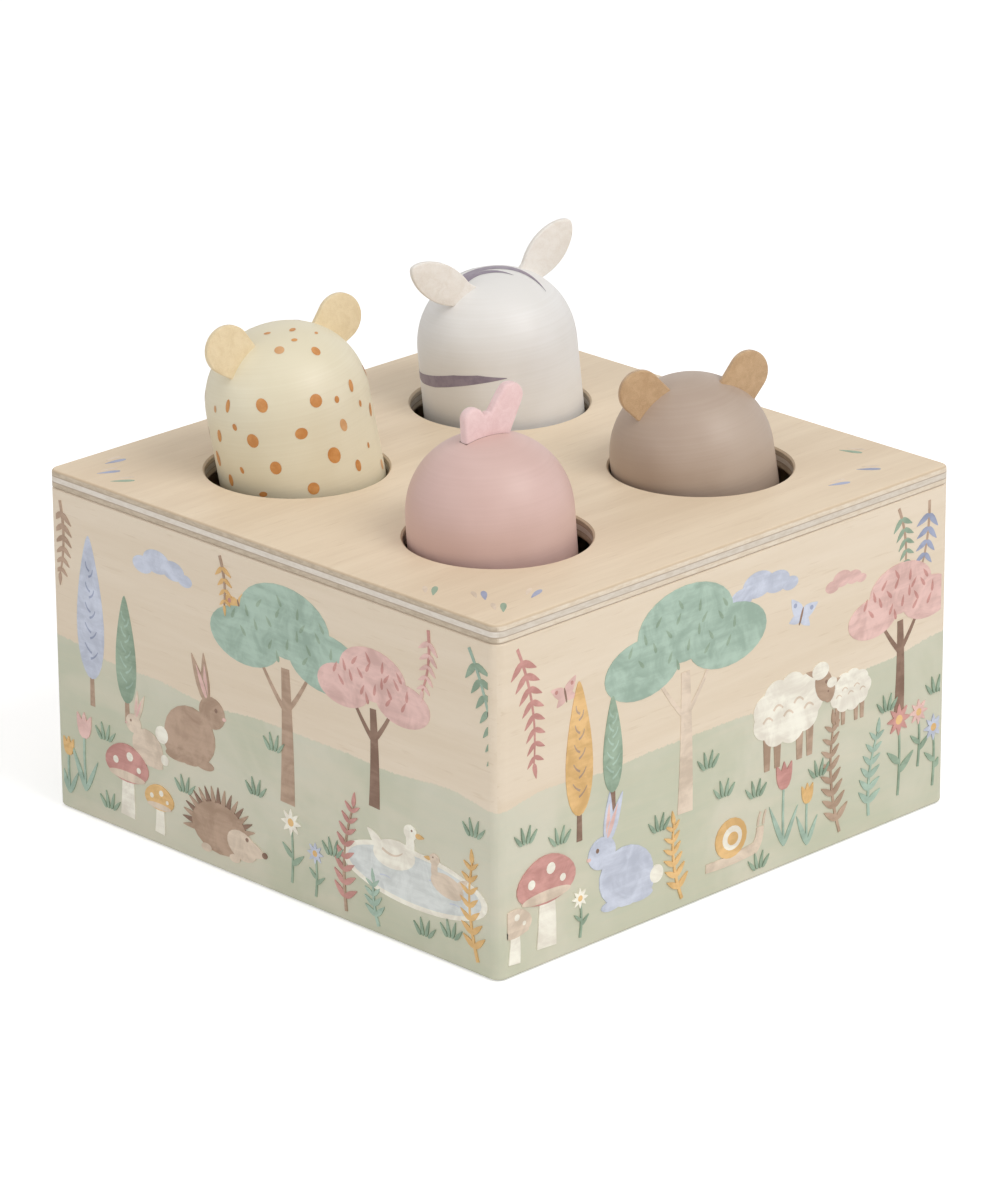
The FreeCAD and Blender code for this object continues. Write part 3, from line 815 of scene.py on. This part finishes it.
def slit_shade_mask(tree, place, crown):
    """1 along the slit in the crown where the comb goes in: there the shade in the slit is painted dark."""
    middle, half_length, half_width, depth = comb_slit_shade
    parts = split(tree, place)
    from_middle = sums(tree, "ABSOLUTE", sums(tree, "SUBTRACT", parts[0], middle * mm), 0.0)
    along = outside(tree, from_middle, (half_length - 0.1) * mm, (half_length + 0.12) * mm)
    off_line = sums(tree, "ABSOLUTE", parts[1], 0.0)
    across = outside(tree, off_line, (half_width - 0.08) * mm, (half_width + 0.12) * mm)
    on_top = between(tree, parts[2], (crown - depth - 0.5) * mm, (crown - depth) * mm)
    return sums(tree, "MULTIPLY", sums(tree, "MULTIPLY", along, across), on_top)


def satin_paint(animal, light, shade):
    """Sprayed paint: faint orange peel, the turner's fine rings and a slight drift of tone."""
    material, tree, surface, place = finish_base(animal + " paint", 0.47, 0.12)
    own = own_place(tree)
    crown = animals[animal][2]
    drift = cloudy(tree, own, 45.0, 3.0)
    rings = cloudy(tree, stretched(tree, own, (8.0, 8.0, 1500.0)), 1.0, 3.0, 0.6)
    peel = cloudy(tree, own, 900.0, 2.0)
    tone = weighed(tree, drift, rings, 0.75)
    colour = blended(tree, between(tree, tone, 0.35, 0.65), paint(*shade), paint(*light))
    # The bird alone: painted shade, dark brown along the slit where its comb goes into the crown
    if animal == "bird":
        colour = blended(tree, slit_shade_mask(tree, own, crown), colour, paint(92, 66, 48))
    tree.links.new(colour, surface.inputs["Base Color"])
    raised(tree, surface, sums(tree, "ADD", sums(tree, "MULTIPLY", peel, 0.5), rings), 0.06)
    return material


def turned_body(animal, material):
    crown = animals[animal][2]
    shoulder = crown - crown_height
    bm = bmesh.new()
    profile = [(0.0, -body_below), (skirt_radius - 0.8, -body_below), (skirt_radius - 0.25, 0.25 - body_below),
               (skirt_radius, 0.8 - body_below), (body_radius, shoulder)]
    steps = 26
    for i in range(1, steps + 1):
        angle = math.pi / 2 * i / steps
        out = body_radius * math.cos(angle) ** (2 / crown_square[animal]) if i < steps else 0.0
        profile.append((out, shoulder + crown_height * math.sin(angle) ** (2 / crown_square[animal])))
    verts = [bm.verts.new((x, 0, z)) for x, z in profile]
    for a, b in zip(verts, verts[1:]):
        bm.edges.new((a, b))
    bmesh.ops.spin(bm, geom=bm.verts[:] + bm.edges[:], cent=(0, 0, 0), axis=(0, 0, 1), angle=math.tau,
                   steps=112, use_merge=True)
    bmesh.ops.remove_doubles(bm, verts=bm.verts, dist=0.0005)
    piece = make_piece(animal + "_turned_body", bm, material, animal)
    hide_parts(animal + "_body")


body_paints = {
    "leopard": ((235, 228, 204), (227, 218, 191)),
    "zebra": ((239, 238, 237), (231, 229, 226)),
    "bear": ((186, 168, 153), (176, 156, 140)),
    "bird": ((218, 187, 180), (210, 178, 170)),
}
for animal, (light, shade) in body_paints.items():
    turned_body(animal, satin_paint(animal, light, shade))


# Painted spots, stripes and faces
# Brush marks in thicker paint over the spray coat. Spots and stripes go round the bodies;
# the side that looks away from the camera has two dot eyes and a plain muzzle.

# How far a mark stands off the spray coat, in millimetres
mark_lift = 0.05


def brush_paint(name, colour, deeper):
    material, tree, surface, place = finish_base(name, 0.45, 0.15)
    own = own_place(tree)
    pooled = cloudy(tree, own, 420.0, 3.0, 0.6)
    tree.links.new(blended(tree, between(tree, pooled, 0.36, 0.66), paint(*deeper), paint(*colour)),
                   surface.inputs["Base Color"])
    raised(tree, surface, pooled, 0.1)
    return material


def daub(bm, animal, turn, height, wide, high, tilt=0.0, lift=mark_lift, steps=16):
    """One round brush mark at a turn about the axis, at a height from the crown's top."""
    mark = bmesh.new()
    bmesh.ops.create_circle(mark, cap_ends=True, cap_tris=True, segments=steps, radius=1.0)
    bmesh.ops.subdivide_edges(mark, edges=mark.edges, cuts=2, use_grid_fill=True)
    way = math.radians(turn)
    slant = math.radians(tilt)
    for vert in mark.verts:
        x = vert.co.x * wide / 2
        y = vert.co.y * high / 2
        across = x * math.cos(slant) - y * math.sin(slant)
        rise = x * math.sin(slant) + y * math.cos(slant)
        z = animals[animal][2] + height
        shoulder = animals[animal][2] - crown_height
        if z <= shoulder:
            spot = Vector((body_radius, 0, z + rise))
        else:
            out = crown_reach(animal, z - shoulder)
            steep = math.atan2(z - shoulder, max(out, 0.01))
            spot = Vector((out - rise * math.sin(steep), 0, z + rise * math.cos(steep)))
        spot.y = across
        spot.rotate(Matrix.Rotation(way, 3, "Z"))
        vert.co = on_skin(spot, animal, lift)
    gather(bm, mark)


def band(bm, animal, points):
    """A tapering stripe through (turn, height, width) points, laid on the body."""
    strip = bmesh.new()
    bmesh.ops.create_grid(strip, x_segments=48, y_segments=6, size=1.0)
    last = len(points) - 1
    for vert in strip.verts:
        t = (vert.co.x + 1) / 2 * last
        i = min(int(t), last - 1)
        share = t - i
        share = share * share * (3 - 2 * share) if last > 2 else share
        turn, height, width = (a + (b - a) * share for a, b in zip(points[i], points[i + 1]))
        z = animals[animal][2] + height + vert.co.y * width / 2
        way = math.radians(turn)
        out = crown_reach(animal, z - animals[animal][2] + crown_height)
        vert.co = on_skin(Vector((out * math.cos(way), out * math.sin(way), z)), animal, mark_lift)
    gather(bm, strip)


def arch(bm, animal, start, bend, end, width):
    """A stripe over the crown, drawn as seen from above, in millimetres from the axis."""
    strip = bmesh.new()
    bmesh.ops.create_grid(strip, x_segments=40, y_segments=5, size=1.0)
    for vert in strip.verts:
        t = (vert.co.x + 1) / 2
        here, way = on_curve(start, bend, end, t)
        half = width / 2 * min(1.0, 6 * t + 0.15, 2.4 * (1 - t) + 0.02) * vert.co.y
        x = here.x - way.y * half
        y = here.y + way.x * half
        z = animals[animal][2] - crown_height + crown_rise(animal, math.hypot(x, y))
        vert.co = on_skin(Vector((x, y, z)), animal, mark_lift)
    gather(bm, strip)


brown_spots = bmesh.new()
pale_spots = bmesh.new()
# Each spot: turn about the axis, height from the crown's top, half height and half width
spots = [
    (-142, -0.3, 0.5, 0.8), (-69, -0.6, 0.6, 0.9), (-90, -1.7, 0.5, 0.7), (-50, -2.3, 0.4, 0.6),
    (-116, -2.5, 1.1, 1.1), (-78, -4.4, 1.2, 1.0), (-65, -13.3, 1.4, 0.7), (-137, -12.0, 1.6, 1.3),
    (-98, -13.2, 1.5, 1.4), (-82, -14.5, 0.8, 0.6), (-166, -12.2, 1.5, 0.6), (179, -13.5, 0.8, 0.5),
    (-60, -18.0, 0.8, 0.5), (-45, -21.2, 1.5, 0.8), (-161, -16.7, 0.8, 0.6), (180, -19.5, 1.5, 0.8),
    (-148, -19.7, 1.6, 1.4), (-113, -19.4, 1.3, 1.4), (-81, -20.5, 1.5, 0.9), (-93, -26.2, 1.9, 1.5),
    (-60, -27.7, 0.7, 0.4), (170, -25.5, 1.8, 1.0), (-162, -26.7, 0.8, 0.5), (-135, -26.2, 1.5, 1.3),
    (-75, -30.6, 1.4, 0.8), (-43, -34.3, 1.3, 0.8), (-176, -29.6, 1.4, 0.8), (-112, -32.2, 1.4, 1.3),
    (-148, -32.1, 0.6, 1.0), (-30, -13.7, 1.5, 0.8), (20, -1.6, 0.9, 0.9), (95, -2.2, 1.0, 1.1),
    (150, -5.2, 1.2, 1.0), (55, -4.6, 1.1, 1.2), (8, -8.2, 1.3, 1.0), (35, -13.4, 1.5, 1.2),
    (148, -13.0, 1.5, 1.2), (4, -16.8, 1.4, 1.0), (124, -19.4, 1.0, 0.8), (48, -20.4, 1.6, 1.3),
    (-14, -21.5, 1.5, 1.1), (152, -21.0, 1.4, 1.1), (22, -24.6, 1.3, 1.3), (84, -24.4, 1.5, 1.2),
    (118, -27.0, 1.6, 1.4), (-4, -28.4, 1.5, 1.2), (58, -28.8, 1.2, 1.0), (146, -30.0, 0.8, 0.9),
    (30, -32.6, 1.5, 1.2), (92, -32.0, 1.3, 1.3), (0, -35.0, 0.9, 0.9), (128, -34.2, 1.4, 1.0),
    (62, -35.6, 1.2, 1.2), (-95, -38.0, 1.3, 1.2), (-130, -38.6, 1.2, 1.3),
]
for i, (turn, height, half_high, half_wide) in enumerate(spots):
    target = pale_spots if i % 7 == 4 else brown_spots
    daub(target, "leopard", turn, height, 2 * half_wide, 2 * half_high, 18 * math.sin(turn), steps=18)
brown = brush_paint("spot brown", (212, 150, 86), (198, 132, 68))
pale_brown = brush_paint("spot pale brown", (220, 172, 124), (208, 156, 106))
make_piece("leopard_brown_spots", brown_spots, brown, "leopard")
make_piece("leopard_pale_spots", pale_spots, pale_brown, "leopard")

# Each stripe round the zebra: turn about the axis, height from the crown's top, width
stripes = bmesh.new()
for marks in (
    [(136, -22.4, 0.1), (150, -22.4, 1.6), (165, -22.2, 2.3), (185, -21.4, 2.7), (204, -20.3, 2.7),
     (223, -19.7, 2.0), (244, -19.8, 0.1)],
    [(-16, -20.6, 0.1), (2, -20.8, 2.2), (20, -20.2, 2.6), (44, -19.6, 0.2)],
    [(-4, -12.6, 0.1), (8, -12.8, 2.0), (24, -12.4, 2.2), (40, -12.0, 0.2)],
    [(106, -11.6, 0.1), (114, -12.0, 2.0), (122, -12.4, 1.8), (130, -12.4, 0.1)],
):
    band(stripes, "zebra", marks)
arch(stripes, "zebra", (-9.2, 1.8), (5.6, 5.8), (7.8, -10.4), 3.0)
arch(stripes, "zebra", (-9.4, -1.2), (-1.4, 3.0), (2.8, -5.4), 2.0)
arch(stripes, "zebra", (8.8, 5.6), (0.6, 11.4), (-8.8, 7.4), 2.0)
stripe_grey = brush_paint("stripe grey", (150, 138, 152), (134, 122, 138))
make_piece("zebra_stripes", stripes, stripe_grey, "zebra")

eyes = brush_paint("eye brown", (74, 60, 54), (58, 46, 42))
muzzles = {"leopard": ((240, 234, 216), (232, 224, 204)), "zebra": ((206, 194, 190), (196, 184, 182)),
           "bear": ((214, 200, 182), (204, 190, 172)), "bird": ((228, 180, 110), (216, 166, 96))}
for animal, (light, deep) in muzzles.items():
    dots = bmesh.new()
    for side in (-1, 1):
        daub(dots, animal, 90 + side * 24, -11.0, 2.0, 2.3, lift=0.08)
    muzzle = bmesh.new()
    if animal == "bird":
        daub(muzzle, animal, 90, -14.2, 3.6, 5.0, lift=0.07)
    else:
        daub(muzzle, animal, 90, -15.6, 8.4, 6.0, steps=24)
        daub(dots, animal, 90, -13.9, 2.6, 1.7, lift=0.1)
    make_piece(animal + "_eyes", dots, eyes, animal)
    snout = brush_paint(animal + " muzzle", light, deep)
    make_piece(animal + "_muzzle", muzzle, snout, animal)


# Felt ears and comb
# Wool felt, die cut from sheet and glued into the crowns. The cut edge is soft and a
# little hairy, and the faces are slightly uneven.

def wool_felt(name, light, deep):
    material, tree, surface, place = finish_base(name, 0.92)
    surface.inputs["Sheen Weight"].default_value = 0.5
    surface.inputs["Sheen Roughness"].default_value = 0.5
    own = own_place(tree)
    fibres = cloudy(tree, own, 2600.0, 6.0, 0.75, 2.0)
    lumps = cloudy(tree, own, 420.0, 3.0, 0.6, 0.8)
    tone = weighed(tree, fibres, lumps, 0.55)
    tree.links.new(blended(tree, between(tree, tone, 0.36, 0.62), paint(*deep), paint(*light)),
                   surface.inputs["Base Color"])
    raised(tree, surface, tone, 0.7, 0.0003)
    return material


def felt_from(bm, thickness):
    """Gives a flat outline its thickness and rounds its cut edge."""
    grown = bmesh.ops.extrude_face_region(bm, geom=list(bm.faces))
    top = [item for item in grown["geom"] if isinstance(item, bmesh.types.BMVert)]
    bmesh.ops.translate(bm, verts=top, vec=(0, 0, thickness))
    bmesh.ops.translate(bm, verts=bm.verts, vec=(0, 0, -thickness / 2))
    bmesh.ops.recalc_face_normals(bm, faces=bm.faces)
    rim = [edge for edge in bm.edges if len(edge.link_faces) == 2 and edge.calc_face_angle(0) > 1.0
           and abs(edge.verts[0].co.z - edge.verts[1].co.z) < 1e-6]
    bmesh.ops.bevel(bm, geom=rim, offset=thickness * 0.24, offset_type="OFFSET", affect="EDGES", segments=3,
                    profile=0.5, material=-1)
    return bm


def rounded_outline(circles):
    """The flat outline round two circles, each given as its middle and radius."""
    bm = bmesh.new()
    for x, y, radius in circles:
        made = bmesh.ops.create_circle(bm, cap_ends=False, segments=48, radius=radius)
        bmesh.ops.translate(bm, verts=made["verts"], vec=(x, y, 0))
    hull = bmesh.ops.convex_hull(bm, input=bm.verts)
    left_over = hull["geom_interior"] + hull["geom_unused"]
    spare = [item for item in left_over if isinstance(item, bmesh.types.BMVert)]
    bmesh.ops.delete(bm, geom=list(set(spare)), context="VERTS")
    bmesh.ops.dissolve_limit(bm, angle_limit=0.01, verts=bm.verts, edges=bm.edges)
    return bm


# How far a leaf ear goes down into the crown, in millimetres
tang = 4.5


def leaf_outline(length, wide, neck):
    """A leaf that is widest below its middle, with a round tip and a narrow root."""
    bm = bmesh.new()
    bmesh.ops.create_circle(bm, cap_ends=True, segments=64, radius=1.0)
    widest = 0.42 * length
    for vert in bm.verts:
        side = 1 if vert.co.x > 0 else -1
        rise = -tang + (vert.co.y + 1) / 2 * (length + tang)
        if rise > widest:
            half = wide / 2 * (1 - ((rise - widest) / (length - widest)) ** 1.9) ** 0.62
        else:
            half = wide / 2 - (wide / 2 - neck) * min((widest - rise) / widest, 1.0) ** 2
        vert.co = (side * half if abs(vert.co.x) > 1e-4 else 0.0, rise, 0)
    return bm


# The die each pair is cut with, and for the left and right ear: root across and along the
# crown, slant outwards and turn about the upright.
ears = {
    "leopard": {"length": 9.5, "tip": 5.5, "neck": 4.2,
                "roots": ((-11.2, -3.1, -37.5, 0.4), (14.2, 2.0, 55.0, 1.2))},
    "bear": {"length": 8.8, "tip": 5.0, "neck": 4.9,
             "roots": ((-9.4, -3.2, -37.0, 0.0), (11.2, -4.4, 47.0, 7.2))},
    "zebra": {"length": 14.5, "wide": 8.7, "neck": 2.9,
              "roots": ((-9.6, -3.3, -53.4, -7.7), (10.5, -0.1, 47.7, -6.3))},
}
felts = {
    "leopard": wool_felt("cream felt", (245, 226, 188), (233, 211, 169)),
    "bear": wool_felt("tan felt", (208, 175, 136), (190, 155, 116)),
    "zebra": wool_felt("white felt", (250, 245, 238), (240, 232, 222)),
    "bird": wool_felt("pink felt", (249, 218, 217), (239, 203, 202)),
}
felt_thickness = 1.5
comb_thickness = 2.7
# How far below the crown's top the comb's outline is drawn from
comb_middle = -1.0

for animal, ear in ears.items():
    crown = animals[animal][2]
    for word, (across, along, lean, twist) in zip(("left", "right"), ear["roots"]):
        if "wide" in ear:
            bm = leaf_outline(ear["length"], ear["wide"], ear["neck"])
        else:
            bm = rounded_outline([(0, -2.0, ear["neck"]), (0, ear["length"] - ear["tip"], ear["tip"])])
        bm = felt_from(bm, felt_thickness)
        rise = crown_rise(animal, math.hypot(across, along))
        upright = Matrix.Rotation(math.radians(90), 4, "X")
        slant = Matrix.Rotation(math.radians(twist), 4, "Z") @ Matrix.Rotation(math.radians(lean), 4, "Y")
        place = Matrix.Translation((across, along, crown - crown_height + rise))
        bmesh.ops.transform(bm, matrix=place @ slant @ upright, verts=bm.verts)
        piece = make_piece(f"{animal}_{word}_felt_ear", bm, felts[animal], animal)
        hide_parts(f"{animal}_{word}_ear")

# The comb's two lobes and the web between them: foot and tip of each, as place and radius
lobes = [(-2.3, -1.3, 3.2, -2.9, 4.0, 2.5), (1.6, -0.9, 3.6, 6.7, 7.2, 2.9), (0.2, -1.0, 3.0, 1.0, 2.9, 1.9)]


def in_comb(x, y):
    for x0, y0, r0, x1, y1, r1 in lobes:
        length = math.hypot(x1 - x0, y1 - y0)
        t = min(max(((x - x0) * (x1 - x0) + (y - y0) * (y1 - y0)) / length ** 2, 0.0), 1.0)
        if math.hypot(x - x0 - (x1 - x0) * t, y - y0 - (y1 - y0) * t) < r0 + (r1 - r0) * t:
            return True
    return False


comb = bmesh.new()
bmesh.ops.create_circle(comb, cap_ends=True, segments=140, radius=1.0)
for vert in comb.verts:
    reach = 1.0
    while in_comb(vert.co.x * reach, vert.co.y * reach + comb_middle):
        reach += 0.02
    vert.co = (vert.co.x * reach, vert.co.y * reach + comb_middle, 0)
comb = felt_from(comb, comb_thickness)
stand_up = Matrix.Translation((0, 0, animals["bird"][2])) @ Matrix.Rotation(math.radians(90), 4, "X")
bmesh.ops.transform(comb, matrix=stand_up, verts=comb.verts)
comb_piece = make_piece("bird_felt_comb", comb, felts["bird"], "bird")
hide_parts("bird_comb")


# Springs
# Drawn steel wire, wound six turns from the seat's boss to the foot's boss. It is shown in two
# pieces that meet at a cut.

wire_radius = 0.55
coil_radius = 9.3
coil_turns = 6
points_in_turn = 28
# How much of the even pitch is kept at the ends, where the turns lie close
end_share = 0.19
# Height of the lowest turn over the floor, and of the highest under the plate
spring_low = 8.85
spring_high = -16.85
# The length that the upper piece is cut to
upper_length = 9.0
spring_wire = plated_steel("spring wire", (176, 178, 182), 0.26)


def wire(name, points):
    """A round wire along the points, closed at both ends."""
    curve = bpy.data.curves.new(name, "CURVE")
    curve.dimensions = "3D"
    curve.bevel_depth = wire_radius * mm
    curve.bevel_resolution = 3
    curve.use_fill_caps = True
    line = curve.splines.new("POLY")
    line.points.add(len(points) - 1)
    for place, point in zip(line.points, points):
        place.co = (*point, 1)
    holder = put_out(name + "_line", curve)
    bpy.context.view_layer.update()
    mesh = bpy.data.meshes.new_from_object(holder.evaluated_get(bpy.context.evaluated_depsgraph_get()))
    bpy.data.objects.remove(holder)
    mesh.name = name
    for face in mesh.polygons:
        face.use_smooth = True
    mesh.materials.clear()
    mesh.materials.append(spring_wire)
    piece = put_out(name, mesh)
    return piece


for animal in animals:
    column, row = animals[animal][:2]
    place = stand(animal)
    low = Vector((column * hole_offset, row * hole_offset, spring_low)) * mm
    high = place @ Vector((0, 0, spring_high))
    span = (high - low).length
    low_way = Vector((0, 0, 1)) * span
    high_way = (place.to_3x3() @ Vector((0, 0, 1))).normalized() * span
    steps = points_in_turn * coil_turns
    points = []
    centres = []
    for i in range(steps + 1):
        share = i / steps
        t = end_share * share + (1 - end_share) * (share - math.sin(math.tau * share) / math.tau)
        centre = (low * (2 * t ** 3 - 3 * t ** 2 + 1) + low_way * (t ** 3 - 2 * t ** 2 + t)
                  + high * (3 * t ** 2 - 2 * t ** 3) + high_way * (t ** 3 - t ** 2))
        way = (low * (6 * t ** 2 - 6 * t) + low_way * (3 * t ** 2 - 4 * t + 1)
               + high * (6 * t - 6 * t ** 2) + high_way * (3 * t ** 2 - 2 * t)).normalized()
        across = (Vector((1, 0, 0)) - way * way.x).normalized()
        beside = way.cross(across)
        angle = math.tau * coil_turns * share
        points.append(centre + (across * math.cos(angle) + beside * math.sin(angle)) * coil_radius * mm)
        centres.append(centre)
    cut = next(i for i, centre in enumerate(centres) if (high - centre).length < upper_length * mm)
    way = (centres[cut + 1] - centres[cut - 1]).normalized()
    lower = wire(animal + "_coil_lower", points[:cut + 1])
    upper = wire(animal + "_coil_upper", points[cut:])
    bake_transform(lower)
    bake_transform(upper)
    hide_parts(animal + "_spring")
    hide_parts(animal + "_spring")


# Room, lamps and camera
# A white studio: a floor that fades to white for the camera and keeps the toy's soft shadow,
# broad lamps from the right and above, and the photograph's own viewpoint.

floor_form = bmesh.new()
bmesh.ops.create_grid(floor_form, x_segments=1, y_segments=1, size=6.0)
bmesh.ops.translate(floor_form, verts=floor_form.verts, vec=(0, 0, -0.0002))
floor_mesh = bpy.data.meshes.new("studio_floor")
floor_form.to_mesh(floor_mesh)
floor_form.free()
floor = put_out("studio_floor", floor_mesh)
floor_paint, floor_tree, floor_surface, _ = finish_base("studio floor", 0.9)
floor_surface.inputs["Base Color"].default_value = (0.93, 0.93, 0.93, 1)
path = floor_tree.nodes.new("ShaderNodeLightPath")
glow = sums(floor_tree, "MULTIPLY", path.outputs["Is Camera Ray"], 0.42)
floor_surface.inputs["Emission Color"].default_value = (1, 1, 1, 1)
floor_tree.links.new(glow, floor_surface.inputs["Emission Strength"])
floor_mesh.materials.append(floor_paint)

world = bpy.data.worlds.new("studio")
bpy.context.scene.world = world
world.use_nodes = True
world_tree = world.node_tree
sky = world_tree.nodes["Background"]
sky.inputs["Color"].default_value = (1.0, 0.99, 0.98, 1)
world_path = world_tree.nodes.new("ShaderNodeLightPath")
seen = sums(world_tree, "MAXIMUM", world_path.outputs["Is Camera Ray"], world_path.outputs["Is Glossy Ray"])
seen = sums(world_tree, "MAXIMUM", seen, world_path.outputs["Is Transmission Ray"])
strength = sums(world_tree, "ADD", sums(world_tree, "MULTIPLY", seen, 0.55), 0.45)
world_tree.links.new(strength, sky.inputs["Strength"])

view_x = Vector((0.71090, -0.70329, -0.00609))
view_y = Vector((0.25197, 0.24658, 0.93580))
view_z = Vector((-0.65663, -0.66678, 0.35249))


def lamp(name, aside, above, towards, size, power, colour=(1, 1, 1)):
    """A square soft lamp, placed to the right, above and towards the camera, aimed at the toy."""
    light = bpy.data.lights.new(name, "AREA")
    light.shape = "SQUARE"
    light.size = size
    light.energy = power
    light.color = colour
    holder = put_out(name, light)
    level_z = Vector((view_z.x, view_z.y, 0)).normalized()
    spot = Vector((view_x.x, view_x.y, 0)).normalized() * aside + Vector((0, 0, above)) + level_z * towards
    aim = spot - Vector((0, 0, 0.05))
    holder.location = spot
    holder.rotation_euler = aim.to_track_quat("Z", "Y").to_euler()


lamp("broad lamp", 0.9, 1.2, 0.7, 0.9, 11.2, (1.0, 0.985, 0.965))
lamp("fill lamp", -1.2, 0.8, 0.9, 1.1, 4.0, (1.0, 0.995, 0.99))
lamp("top lamp", -0.1, 1.5, 0.35, 0.9, 2.6)

scene = bpy.context.scene
scene.view_settings.view_transform = "Standard"
camera_data = bpy.data.cameras.new("camera")
camera_data.lens = 186.73
camera_data.sensor_width = 36.0
camera_data.clip_start = 0.05
camera = put_out("camera", camera_data)
axes = Matrix((view_x, view_y, view_z)).transposed()
camera.matrix_world = Matrix.Translation((-0.9018, -0.9158, 0.5323)) @ axes.to_4x4()
scene.camera = camera
